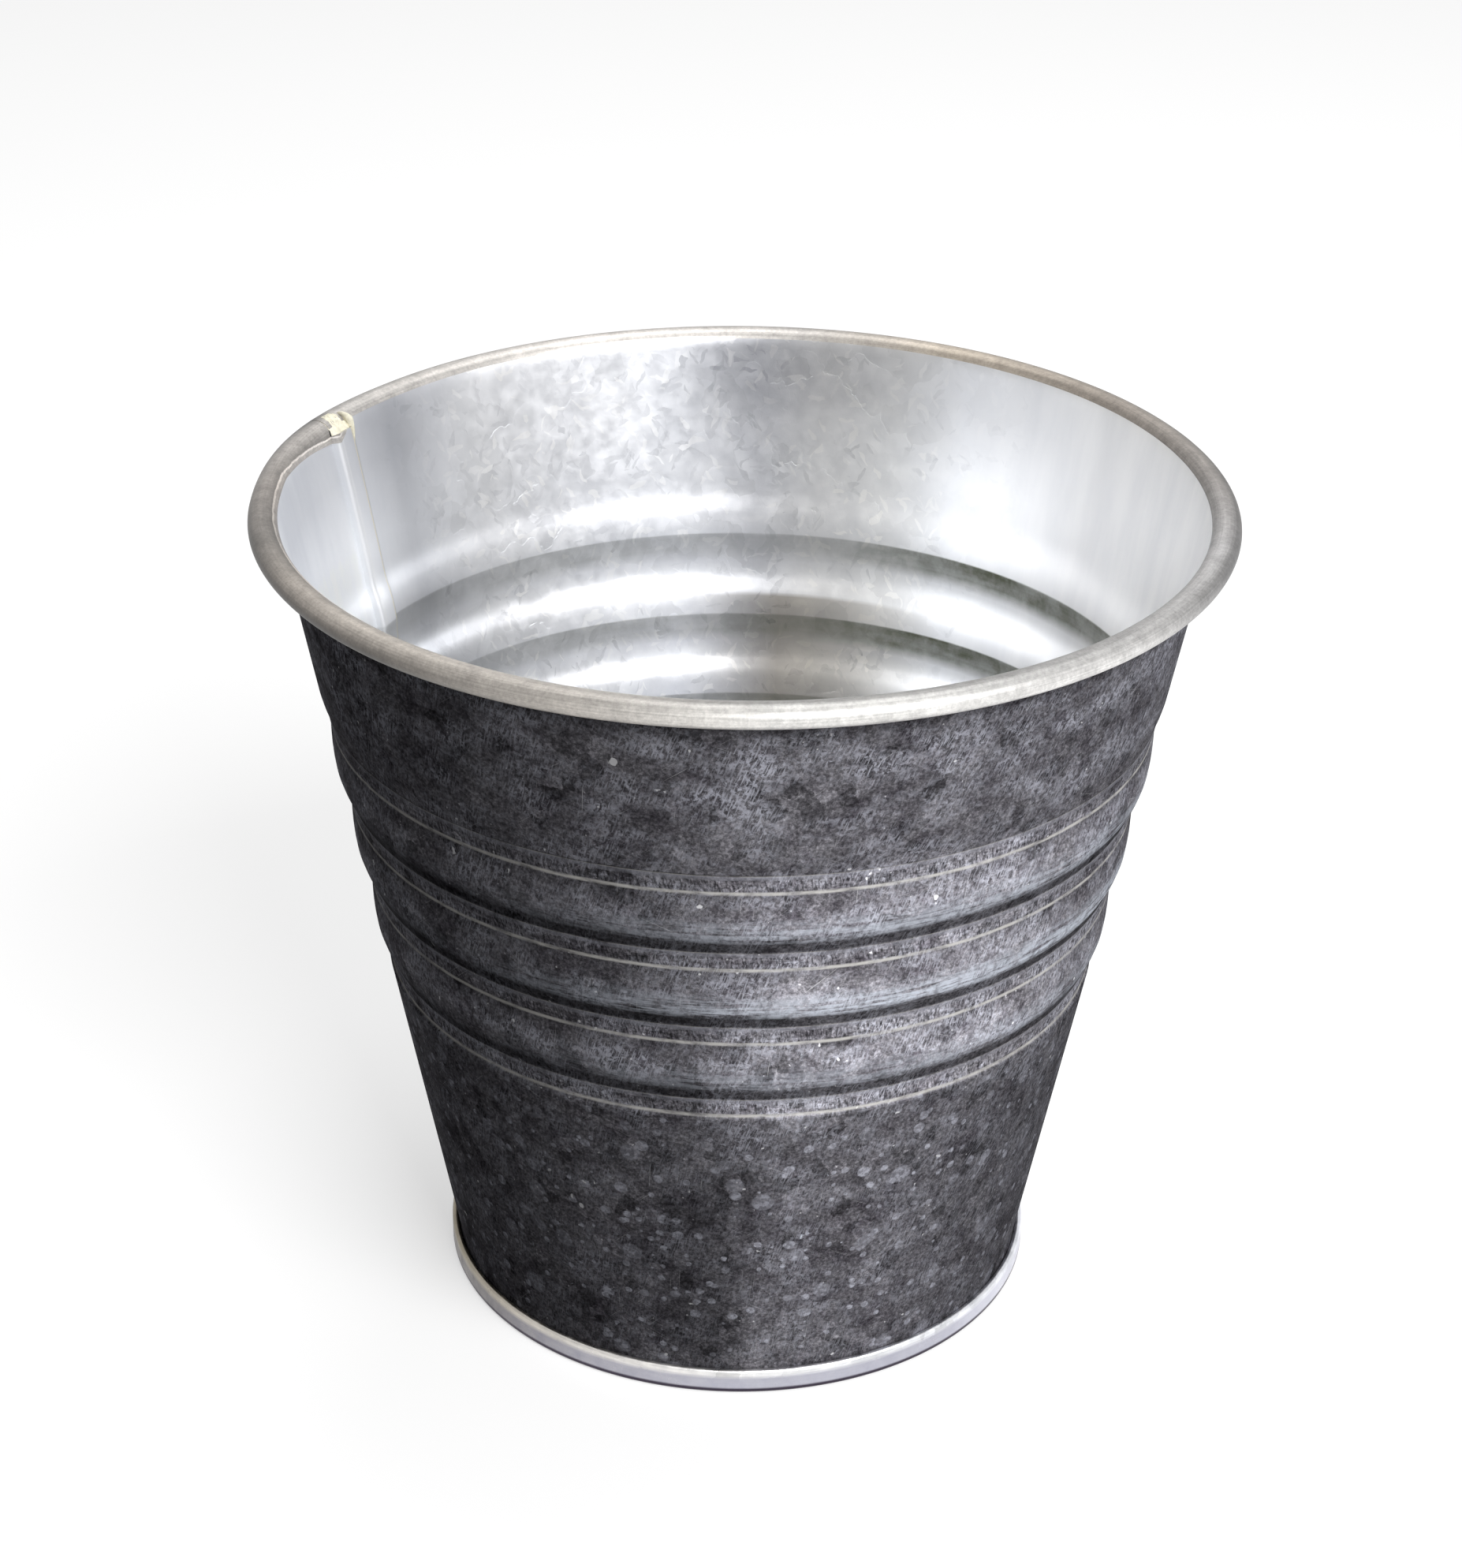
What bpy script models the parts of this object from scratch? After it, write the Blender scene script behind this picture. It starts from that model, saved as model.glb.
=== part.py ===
"""Small galvanised florist bucket, in metres, +Z up, origin at the centre of its resting edge.

Two pieces of sheet steel make it.  The wall is one blank rolled to a cone: its long edges hook into each
other in a lock seam, bands and bulges are rolled in, the rim is curled outward and the foot is turned out.
The base is a pressed pan whose hem wraps the turned foot in a double seam.  Sealing compound closes both
seams.  Every sheet is built as its middle surface and thickened by a Solidify modifier.
"""

import math

import bmesh
import bpy
from mathutils import Vector

# Overall sizes.
RIM_RADIUS = 0.0700
HEIGHT = 0.1238
FOOT_RADIUS = 0.0434

# Sheet steel and the play left between layers that are folded on each other.
SHEET = 0.00028
LAYER_GAP = 0.00009
PITCH = SHEET + LAYER_GAP
HOOK_CLEARANCE = 0.00015

# Curled rim, an oval in section, and the slight flare that leans the wall further out where it runs into it.
CURL_WIDTH = 0.0043
CURL_HEIGHT = 0.0035
CURL_MOUTH = 0.0003
FLARE_TURN = math.radians(3.18217)
FLARE_RADIUS = 0.0130
RIM_OVERHANG = 0.0041

# Rolled bands (pressed inward) and the bulges between them, whose crests lie nearer to the band below.
BAND_COUNT = 4
BAND_DROP = 0.02895
BAND_SPACING = 0.0130
BAND_HEIGHT = 0.0029
BAND_DEPTH = 0.0004
BAND_STEP = 0.0006
BULGE_RISE = 0.0004
CREST_SHARE = 0.66

# Base pan and its double seam.
BASE_SEAM_HEIGHT = 0.0039
FOOT_LAND = 0.0004
BASE_BEND = 0.0005
FLOOR_HEIGHT = 0.0048
FLOOR_BEND = 0.0011
FLOOR_PANEL_RADIUS = 0.0300
FLOOR_PANEL_RISE = 0.0008
FLOOR_PANEL_SLOPE = 0.0016

# Side seam: place round the bucket, half its flat width, the lean of the step where one edge climbs over the
# other, and the notches that keep its four layers out of rim and foot, where the edges only butt.
SEAM_ANGLE = math.radians(156.0)
SEAM_HALF_WIDTH = 0.00145
STEP_LEAN = math.radians(20.0)
STEP_CLEARANCE = 0.0001
NOTCH_GAP = 0.00015
BUTT_GAP = 0.0002
SEAM_MARGIN = 0.0003

# The stiff seam pushes the rim out beside it.
PUSH_DEPTH = 0.00075
PUSH_ANGLE = math.radians(5.0)
PUSH_WIDTH = math.radians(24.0)
PUSH_REACH = 0.0300

# Sealing compound: a bead down the side seam that swells to a drop under the rim, and a ring on the floor.
SEALANT_GAP = 0.00015
SIDE_BEAD_WIDTH = 0.0010
SIDE_BEAD_HEIGHT = 0.0010
DROP_LENGTH = 0.0060
DROP_SWELL = 0.0005
CREST_HEIGHT = 0.0006
BASE_BEAD_WIDTH = 0.0010
BASE_BEAD_HEIGHT = 0.0012
BASE_BEAD_BOTTOM = FLOOR_HEIGHT + SHEET / 2 + SEALANT_GAP
SEAM_START = BASE_BEAD_BOTTOM + BASE_BEAD_HEIGHT + SEALANT_GAP

# Fineness of the facets.  Each facet of the wall stands for one step round it, and the flat seam lies inside
# a single facet, so the foot's size and the seam's reach say how many facets there can be.
CURL_SEGMENTS = 10
FOLD_SEGMENTS = 3
STEP_SEGMENTS = 2
FLANK_SEGMENTS = 3
BEAD_SEGMENTS = 3
SHARP_ANGLE = math.radians(35.0)
FOOT_MIDDLE = FOOT_RADIUS - SHEET / 2
STEP_RISE = PITCH + 2 * PITCH * math.sin(STEP_LEAN)
STEP_FOOT = SEAM_HALF_WIDTH + STEP_CLEARANCE + 2 * PITCH * math.cos(STEP_LEAN) + STEP_RISE * math.tan(STEP_LEAN)
WALL_SEGMENTS = 2 * int(math.pi / math.asin((STEP_FOOT + SEAM_MARGIN) / (FOOT_MIDDLE - PITCH)) / 2)
STEP_ANGLE = 2 * math.pi / WALL_SEGMENTS
FIRST_ANGLE = SEAM_ANGLE - STEP_ANGLE / 2


def make_material(name, colour, roughness, metallic):
    """A plain Principled material."""
    material = bpy.data.materials.new(name)
    material.use_nodes = True
    shader = material.node_tree.nodes["Principled BSDF"]
    shader.inputs["Base Color"].default_value = (*colour, 1.0)
    shader.inputs["Roughness"].default_value = roughness
    shader.inputs["Metallic"].default_value = metallic
    return material


def add_object(name, shape, material):
    """Turns a bmesh into a smooth-shaded object with sharp edges kept sharp."""
    mesh = bpy.data.meshes.new(name)
    shape.to_mesh(mesh)
    shape.free()
    mesh.shade_smooth()
    mesh.set_sharp_from_angle(angle=SHARP_ANGLE)
    mesh.materials.append(material)
    thing = bpy.data.objects.new(name, mesh)
    bpy.context.scene.collection.objects.link(thing)
    return thing


def thicken(thing):
    """Gives a middle surface the thickness of the sheet, half to each side."""
    solidify = thing.modifiers.new("sheet thickness", "SOLIDIFY")
    solidify.thickness = SHEET
    solidify.offset = 0.0
    solidify.use_even_offset = True
    solidify.use_quality_normals = True


def oval(centre, half_sizes, start, end, segments):
    """Points on an oval in the (first, second) plane, from the start angle to the end angle."""
    turn = (end - start) / segments
    angles = [start + turn * step for step in range(segments + 1)]
    return [(centre[0] + half_sizes[0] * math.cos(a), centre[1] + half_sizes[1] * math.sin(a)) for a in angles]


def arc(centre, radius, start, end, segments):
    """Points on a circle in the (first, second) plane, from the start angle to the end angle."""
    return oval(centre, (radius, radius), start, end, segments)


# Middle line of the curl: its centre and its half sizes.
CURL_CENTRE = (RIM_RADIUS - CURL_WIDTH / 2, HEIGHT - CURL_HEIGHT / 2)
CURL_HALVES = ((CURL_WIDTH - SHEET) / 2, (CURL_HEIGHT - SHEET) / 2)

# Cone of the wall: a straight middle line from the foot to the level of the curl's centre.
CONE_FOOT = BASE_SEAM_HEIGHT + FOOT_LAND
CONE_SLOPE = (RIM_RADIUS - RIM_OVERHANG - FOOT_RADIUS) / (CURL_CENTRE[1] - CONE_FOOT)
CONE_LEAN = math.atan(CONE_SLOPE)

# The flare: its lean from the upright, and the angle round the curl at which it runs into it.
FLARE_LEAN = CONE_LEAN + FLARE_TURN
CURL_START = math.pi - math.atan(CURL_HALVES[1] / CURL_HALVES[0] * math.tan(FLARE_LEAN))


def cone_radius(height):
    """Radius of the wall's middle line, without bands, at a height."""
    return FOOT_MIDDLE + CONE_SLOPE * (height - CONE_FOOT)


def flare_points():
    """The arc that turns the wall from the cone's lean to the lean at which the curl starts."""
    start_of_curl = oval(CURL_CENTRE, CURL_HALVES, CURL_START, CURL_START, 1)[0]
    excess = start_of_curl[0] - cone_radius(start_of_curl[1])
    corner_height = start_of_curl[1] - excess / (math.tan(FLARE_LEAN) - CONE_SLOPE)
    reach = FLARE_RADIUS * math.tan(FLARE_TURN / 2)
    corner = (cone_radius(corner_height), corner_height)
    low = (corner[0] - reach * math.sin(CONE_LEAN), corner[1] - reach * math.cos(CONE_LEAN))
    centre = (low[0] + FLARE_RADIUS * math.cos(CONE_LEAN), low[1] - FLARE_RADIUS * math.sin(CONE_LEAN))
    return arc(centre, FLARE_RADIUS, math.pi - CONE_LEAN, math.pi - FLARE_LEAN, FOLD_SEGMENTS)


def curl_points():
    """The outward curl, from just past its start on the wall over the top and round to its mouth."""
    across, up = CURL_HALVES
    to_wall = across * up / math.hypot(up * math.cos(CURL_START), across * math.sin(CURL_START))
    start = CURL_START - NOTCH_GAP / up
    end = CURL_START - 2 * math.pi + math.acos(1 - (SHEET + CURL_MOUTH) / to_wall)
    return oval(CURL_CENTRE, CURL_HALVES, start, end, CURL_SEGMENTS)


def bead_points():
    """Bands and bulges of the wall, from the bottom up: (offset from the cone, height)."""
    points = []
    for band in reversed(range(BAND_COUNT)):
        top = HEIGHT - BAND_DROP - BAND_SPACING * band
        bottom = top - BAND_HEIGHT
        if band == BAND_COUNT - 1:
            points.append((0.0, bottom - BAND_STEP))
        points.append((-BAND_DEPTH, bottom))
        points.append((-BAND_DEPTH, top))
        if band == 0:
            points.append((0.0, top + BAND_STEP))
            continue
        rise = BAND_DEPTH + BULGE_RISE
        next_bottom = top + BAND_SPACING - BAND_HEIGHT
        crest = next_bottom - CREST_SHARE * (next_bottom - top)
        shares = [step / FLANK_SEGMENTS for step in range(1, FLANK_SEGMENTS + 1)]
        for share in shares:
            points.append((rise * math.sin(math.pi / 2 * share) - BAND_DEPTH, top + (crest - top) * share))
        for share in reversed(shares[:-1]):
            height = next_bottom + (crest - next_bottom) * share
            points.append((rise * math.sin(math.pi / 2 * share) - BAND_DEPTH, height))
    return points


def foot_points():
    """The turned foot: body hook, turn and upright, from the free edge of the hook."""
    turn_height = 2 * PITCH + SHEET / 2
    hook_top = BASE_SEAM_HEIGHT - SHEET - HOOK_CLEARANCE - SHEET / 2
    turn = arc((FOOT_MIDDLE + PITCH, turn_height), PITCH, 0.0, -math.pi, FOLD_SEGMENTS)
    return [(FOOT_MIDDLE + 2 * PITCH, hook_top)] + turn


def wall_profile():
    """Middle line of the wall from the hook's edge to the curl's mouth, and the rows where the notches lie."""
    points = foot_points()
    points.append((FOOT_MIDDLE, CONE_FOOT))
    low_notch = len(points)
    for height in (SEAM_START, SEAM_START + NOTCH_GAP):
        points.append((cone_radius(height), height))
    for offset, height in bead_points():
        points.append((cone_radius(height) + offset, height))
    points.extend(flare_points())
    high_notch = len(points) - 1
    points.extend(curl_points())
    return points, low_notch, high_notch


def profile_normals(points):
    """Unit normals of a profile that point into the bucket, lengthened at bends so that layers stay parallel."""
    normals = []
    for index in range(len(points)):
        before = Vector(points[max(index - 1, 0)])
        here = Vector(points[index])
        after = Vector(points[min(index + 1, len(points) - 1)])
        arrive = here - before if index else after - here
        leave = after - here if index < len(points) - 1 else arrive
        first = Vector((-arrive.y, arrive.x)).normalized()
        second = Vector((-leave.y, leave.x)).normalized()
        middle = (first + second).normalized()
        normals.append(middle / middle.dot(first))
    return normals


def pushed_out(position):
    """Moves a point away from the axis where the stiff seam pushes the rim out."""
    radius = math.hypot(position.x, position.y)
    turn = math.atan2(position.y, position.x) - SEAM_ANGLE - PUSH_ANGLE
    turn = (turn + math.pi) % (2 * math.pi) - math.pi
    share = abs(turn) / PUSH_WIDTH
    above = (position.z - (HEIGHT - PUSH_REACH)) / PUSH_REACH
    if share >= 1.0 or above <= 0.0:
        return position
    depth = PUSH_DEPTH * math.cos(math.pi / 2 * share) ** 2 * min(above, 1.0) ** 2
    factor = 1.0 + depth / radius
    return Vector((position.x * factor, position.y * factor, position.z))


def seam_frame(point, normal, along, layer):
    """A point beside the seam: `along` it round the wall, and `layer` into the bucket from the middle line."""
    radial = Vector((math.cos(SEAM_ANGLE), math.sin(SEAM_ANGLE), 0.0))
    tangent = Vector((-math.sin(SEAM_ANGLE), math.cos(SEAM_ANGLE), 0.0))
    distance = (point[0] * math.cos(STEP_ANGLE / 2)) + normal.x * layer
    height = point[1] + normal.y * layer
    return pushed_out(radial * distance + tangent * along + Vector((0.0, 0.0, height)))


def outer_hook():
    """The hook on the blank's first edge: (along, layer) from its free edge to the wall."""
    nose = arc((SEAM_HALF_WIDTH, PITCH), PITCH, math.pi / 2, -math.pi / 2, FOLD_SEGMENTS)
    return [(HOOK_CLEARANCE - SEAM_HALF_WIDTH, 2 * PITCH)] + nose


def inner_hook():
    """The hook on the blank's other edge: it steps over the first hook and folds back inside it."""
    centre = (SEAM_HALF_WIDTH + STEP_CLEARANCE, PITCH)
    step_up = arc(centre, 2 * PITCH, STEP_LEAN, math.pi / 2, STEP_SEGMENTS)
    nose = arc((-SEAM_HALF_WIDTH, 2 * PITCH), PITCH, math.pi / 2, 3 * math.pi / 2, FOLD_SEGMENTS)
    return [(STEP_FOOT, 0.0)] + step_up + nose + [(SEAM_HALF_WIDTH - HOOK_CLEARANCE, PITCH)]


def build_body_sheet(material):
    """The wall: rows follow the profile, columns run from one hook round the cone to the other hook."""
    profile, low_notch, high_notch = wall_profile()
    normals = profile_normals(profile)
    first_hook = outer_hook()
    last_hook = inner_hook()
    shape = bmesh.new()
    rows = []
    tongues = []
    for point, normal in zip(profile, normals):
        row = [shape.verts.new(seam_frame(point, normal, *place)) for place in first_hook]
        for column in range(WALL_SEGMENTS):
            angle = SEAM_ANGLE - STEP_ANGLE * (column + 0.5)
            place = Vector((point[0] * math.cos(angle), point[0] * math.sin(angle), point[1]))
            row.append(shape.verts.new(pushed_out(place)))
        row.extend(shape.verts.new(seam_frame(point, normal, *place)) for place in last_hook)
        rows.append(row)
        butt = point[0] * math.sin(STEP_ANGLE / 2) - BUTT_GAP
        tongues.append(shape.verts.new(seam_frame(point, normal, butt, 0.0)))
    wall_start = len(first_hook) - 1
    wall_end = wall_start + WALL_SEGMENTS
    for index in range(len(rows) - 1):
        below, above = rows[index], rows[index + 1]
        hooked = low_notch < index < high_notch
        notch = index in (low_notch, high_notch)
        start = 0 if hooked else wall_start
        end = len(below) - 1 if hooked else wall_end
        for column in range(start, end):
            shape.faces.new((below[column], above[column], above[column + 1], below[column + 1]))
        if not hooked and not notch:
            shape.faces.new((below[wall_start], tongues[index], tongues[index + 1], above[wall_start]))
    loose = [vert for vert in shape.verts if not vert.link_faces]
    bmesh.ops.delete(shape, geom=loose, context="VERTS")
    bmesh.ops.recalc_face_normals(shape, faces=shape.faces)
    thicken(add_object("body_sheet", shape, material))


def pan_profile():
    """Middle line of the base pan, from the centre of the floor out to the edge of its hidden hook."""
    panel_top = FLOOR_HEIGHT + FLOOR_PANEL_RISE
    chuck = FOOT_MIDDLE - PITCH
    skirt = FOOT_MIDDLE + 3 * PITCH
    bend_height = SHEET / 2 + BASE_BEND
    hem_height = BASE_SEAM_HEIGHT - SHEET / 2 - PITCH
    hook_bottom = 2 * PITCH + SHEET / 2 + HOOK_CLEARANCE
    points = [
        (0.0, panel_top),
        (FLOOR_PANEL_RADIUS - FLOOR_PANEL_SLOPE, panel_top),
        (FLOOR_PANEL_RADIUS, FLOOR_HEIGHT),
    ]
    points.extend(arc((chuck - FLOOR_BEND, FLOOR_HEIGHT - FLOOR_BEND), FLOOR_BEND, math.pi / 2, 0.0, STEP_SEGMENTS))
    points.extend(arc((chuck + BASE_BEND, bend_height), BASE_BEND, math.pi, 3 * math.pi / 2, STEP_SEGMENTS))
    points.extend(arc((skirt - BASE_BEND, bend_height), BASE_BEND, -math.pi / 2, 0.0, STEP_SEGMENTS))
    points.extend(arc((skirt - PITCH, hem_height), PITCH, 0.0, math.pi, FOLD_SEGMENTS))
    points.append((skirt - 2 * PITCH, hook_bottom))
    return points


def add_turned(name, points, is_ring, material):
    """Turns a profile round the axis with a Screw modifier, its facets in step with those of the wall."""
    shape = bmesh.new()
    verts = []
    for radius, height in points:
        verts.append(shape.verts.new((radius * math.cos(FIRST_ANGLE), radius * math.sin(FIRST_ANGLE), height)))
    for first, second in zip(verts, verts[1:]):
        shape.edges.new((first, second))
    if is_ring:
        shape.edges.new((verts[-1], verts[0]))
    thing = add_object(name, shape, material)
    screw = thing.modifiers.new("turned round the axis", "SCREW")
    screw.steps = WALL_SEGMENTS
    screw.render_steps = WALL_SEGMENTS
    screw.use_merge_vertices = True
    screw.merge_threshold = 0.00001
    screw.use_smooth_shade = True
    return thing


def bead_section(corner, width, height, along):
    """A bead lying in a corner: its corner point, then a quarter of an ellipse from one face to the other."""
    points = [corner]
    for step in range(BEAD_SEGMENTS + 1):
        angle = math.pi / 2 * step / BEAD_SEGMENTS
        points.append((corner[0] + along * width * math.sin(angle), corner[1] + height * math.cos(angle)))
    return points


def drop_share(height):
    """How far the bead has swollen to the drop at a height: 0 below the drop, 1 from its middle up."""
    above = height - (HEIGHT - DROP_LENGTH)
    return min(max(2 * above / DROP_LENGTH, 0.0), 1.0)


def build_side_sealant(material):
    """Compound in the corner between the seam's fold and the wall, run up and over the rim."""
    profile, low_notch, high_notch = wall_profile()
    normals = profile_normals(profile)
    crest = max(range(len(profile)), key=lambda index: profile[index][1])
    corner = (-SEAM_HALF_WIDTH - PITCH - SHEET / 2 - SEALANT_GAP, SHEET / 2 + SEALANT_GAP)
    shape = bmesh.new()
    rings = []
    for index in range(low_notch + 1, crest + 1):
        swell = DROP_SWELL * drop_share(profile[index][1])
        tall = SIDE_BEAD_HEIGHT + swell if index <= high_notch else CREST_HEIGHT
        section = bead_section(corner, SIDE_BEAD_WIDTH + swell, tall, -1.0)
        rings.append([shape.verts.new(seam_frame(profile[index], normals[index], *place)) for place in section])
    for below, above in zip(rings, rings[1:]):
        for start in range(len(below)):
            end = (start + 1) % len(below)
            shape.faces.new((below[start], below[end], above[end], above[start]))
    shape.faces.new(reversed(rings[0]))
    shape.faces.new(rings[-1])
    bmesh.ops.recalc_face_normals(shape, faces=shape.faces)
    add_object("side_seam_sealant", shape, material)


def build_base_sealant(material):
    """Compound laid in the groove between the floor's bend and the wall, leaning with the wall."""
    corner = (FOOT_MIDDLE - SHEET / 2 - SEALANT_GAP, BASE_BEAD_BOTTOM)
    section = bead_section(corner, BASE_BEAD_WIDTH, BASE_BEAD_HEIGHT, -1.0)
    leaning = [(radius + CONE_SLOPE * (height - BASE_BEAD_BOTTOM), height) for radius, height in reversed(section)]
    add_turned("base_seam_sealant", leaning, True, material)


def clear_scene():
    """Removes whatever the scene holds."""
    for thing in list(bpy.data.objects):
        bpy.data.objects.remove(thing)


clear_scene()
weathered_zinc = make_material("weathered zinc", (0.10, 0.095, 0.105), 0.45, 0.9)
bright_zinc = make_material("bright zinc", (0.62, 0.62, 0.64), 0.32, 1.0)
compound = make_material("sealing compound", (0.72, 0.68, 0.55), 0.55, 0.0)
build_body_sheet(weathered_zinc)
thicken(add_turned("base_pan", pan_profile(), False, bright_zinc))
build_side_sealant(compound)
build_base_sealant(compound)
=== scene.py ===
import math

import bpy
import numpy as np
from mathutils import Matrix, Vector


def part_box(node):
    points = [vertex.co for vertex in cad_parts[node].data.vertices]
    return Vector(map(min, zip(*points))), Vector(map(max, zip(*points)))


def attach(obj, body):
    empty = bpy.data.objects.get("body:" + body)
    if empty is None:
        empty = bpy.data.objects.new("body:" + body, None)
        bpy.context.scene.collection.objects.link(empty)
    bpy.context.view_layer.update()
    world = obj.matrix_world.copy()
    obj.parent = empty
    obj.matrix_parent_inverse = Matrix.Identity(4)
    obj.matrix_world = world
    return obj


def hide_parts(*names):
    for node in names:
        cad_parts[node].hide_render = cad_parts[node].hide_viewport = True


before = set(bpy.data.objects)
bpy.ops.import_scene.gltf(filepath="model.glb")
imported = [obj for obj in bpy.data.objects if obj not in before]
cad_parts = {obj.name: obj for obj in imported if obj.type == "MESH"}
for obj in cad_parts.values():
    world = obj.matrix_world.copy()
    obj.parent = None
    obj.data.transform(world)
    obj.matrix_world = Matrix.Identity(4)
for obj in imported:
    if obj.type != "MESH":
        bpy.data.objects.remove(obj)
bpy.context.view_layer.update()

# The wall.  One blank of galvanised sheet steel is rolled to a cone, and its two long edges hook into each
# other in a lock seam that stands inside.  Bands and bulges are rolled in, the rim is curled outward and the
# foot is turned out into the base seam.  Outside, the zinc is dark with weather and painted darker still as
# a painted reflection of dark surroundings; inside it stayed bright.

wall_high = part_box("body_sheet")[1]
RIM_RADIUS = wall_high.x
HEIGHT = wall_high.z
FOOT_RADIUS = 0.0434
SHEET = 0.00028
PITCH = SHEET + 0.00009
HOOK_CLEARANCE = 0.00015

CURL_WIDTH = 0.0043
CURL_HEIGHT = 0.0035
CURL_MOUTH = 0.0003
FLARE_TURN = math.radians(3.18217)
FLARE_RADIUS = 0.0130
RIM_OVERHANG = 0.0041

BAND_COUNT = 4
BAND_DROP = 0.02895
BAND_SPACING = 0.0130
BAND_HEIGHT = 0.0029
BAND_DEPTH = 0.0004
BAND_STEP = 0.0006
BAND_EASE = 0.0036
BAND_EDGE = 0.00012
BULGE_RISE = 0.0004
CREST_SHARE = 0.66

BASE_SEAM_HEIGHT = 0.0039
FOOT_LAND = 0.0004
FLOOR_HEIGHT = 0.0048
SEALANT_GAP = 0.00015
BASE_BEAD_HEIGHT = 0.0012
BASE_BEAD_BOTTOM = FLOOR_HEIGHT + SHEET / 2 + SEALANT_GAP
SEAM_START = BASE_BEAD_BOTTOM + BASE_BEAD_HEIGHT + SEALANT_GAP

SEAM_ANGLE = math.radians(156.0)
SEAM_HALF_WIDTH = 0.00145
STEP_LEAN = math.radians(20.0)
STEP_CLEARANCE = 0.0001
STEP_RISE = PITCH + 2 * PITCH * math.sin(STEP_LEAN)
STEP_RUN = 2 * PITCH * math.cos(STEP_LEAN) + STEP_RISE * math.tan(STEP_LEAN)
STEP_FOOT = SEAM_HALF_WIDTH + STEP_CLEARANCE + STEP_RUN
NOTCH_GAP = 0.00015
BUTT_GAP = 0.0002

PUSH_DEPTH = 0.00068
PUSH_ANGLE = math.radians(5.0)
PUSH_WIDTH = math.radians(21.0)
PUSH_REACH = 0.0300

WALL_COLUMNS = 300
ROW_PITCH = 0.0014
SMALL_BEND_STEPS = 6
BEND_STEPS = 8
CURL_STEPS = 34
SHARP_ANGLE = math.radians(35.0)

FOOT_MIDDLE = FOOT_RADIUS - SHEET / 2
CURL_CENTRE = (RIM_RADIUS - CURL_WIDTH / 2, HEIGHT - CURL_HEIGHT / 2)
CURL_HALVES = ((CURL_WIDTH - SHEET) / 2, (CURL_HEIGHT - SHEET) / 2)
CONE_FOOT = BASE_SEAM_HEIGHT + FOOT_LAND
CONE_SLOPE = (RIM_RADIUS - RIM_OVERHANG - FOOT_RADIUS) / (CURL_CENTRE[1] - CONE_FOOT)
CONE_LEAN = math.atan(CONE_SLOPE)
FLARE_LEAN = CONE_LEAN + FLARE_TURN
CURL_START = math.pi - math.atan(CURL_HALVES[1] / CURL_HALVES[0] * math.tan(FLARE_LEAN))


def oval(centre, halves, start, end, steps):
    """Points at even angles on an oval: the centre plus the half sizes times the angle's cosine and sine."""
    angles = np.linspace(start, end, steps + 1)
    across, up = centre[0] + halves[0] * np.cos(angles), centre[1] + halves[1] * np.sin(angles)
    return np.stack([across, up], axis=1)


def arc(centre, radius, start, end, steps):
    """Points on a circle: an oval with equal half sizes."""
    return oval(centre, (radius, radius), start, end, steps)


def cone_radius(height):
    """Radius of the plain cone's middle line: it grows in proportion to the height."""
    return FOOT_MIDDLE + CONE_SLOPE * (height - CONE_FOOT)


def eased(share):
    """A smooth step: 3 s^2 - 2 s^3 of the share s, held between 0 and 1."""
    held = np.clip(share, 0.0, 1.0)
    return held * held * (3.0 - 2.0 * held)


def band_top(band):
    """Height at which a band starts: one drop under the rim, and one spacing lower for each band above it."""
    return HEIGHT - BAND_DROP - BAND_SPACING * band


def bead_offset(height):
    """How far bands and bulges stand off the cone at each height.

    A band is pressed inward.  Between two bands the wall swells by a quarter sine, crisp where it leaves the
    upper band, and sinks again by a smooth step into the lower one.  Above the first band a long smooth step
    leads down to it, and below the last a short one leads back to the plain cone.
    """
    offset = np.zeros_like(height)
    for band in range(BAND_COUNT):
        top = band_top(band)
        bottom = top - BAND_HEIGHT
        inside = (height <= top) & (height >= bottom)
        offset[inside] = -BAND_DEPTH
        if band == 0:
            above = (height > top) & (height < top + BAND_EASE)
            offset[above] = -BAND_DEPTH * (1.0 - eased((height[above] - top) / BAND_EASE))
        if band == BAND_COUNT - 1:
            below = (height < bottom) & (height > bottom - BAND_STEP)
            offset[below] = -BAND_DEPTH * (1.0 - eased((bottom - height[below]) / BAND_STEP))
            continue
        next_top = top - BAND_SPACING
        bulge = (height < bottom) & (height > next_top)
        down = (bottom - height[bulge]) / (bottom - next_top)
        swell = np.sin(math.pi / 2 * np.clip(down / CREST_SHARE, 0.0, 1.0))
        swell = np.where(down < CREST_SHARE, swell, eased((1.0 - down) / (1.0 - CREST_SHARE)))
        offset[bulge] = (BAND_DEPTH + BULGE_RISE) * swell - BAND_DEPTH
    return offset


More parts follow.
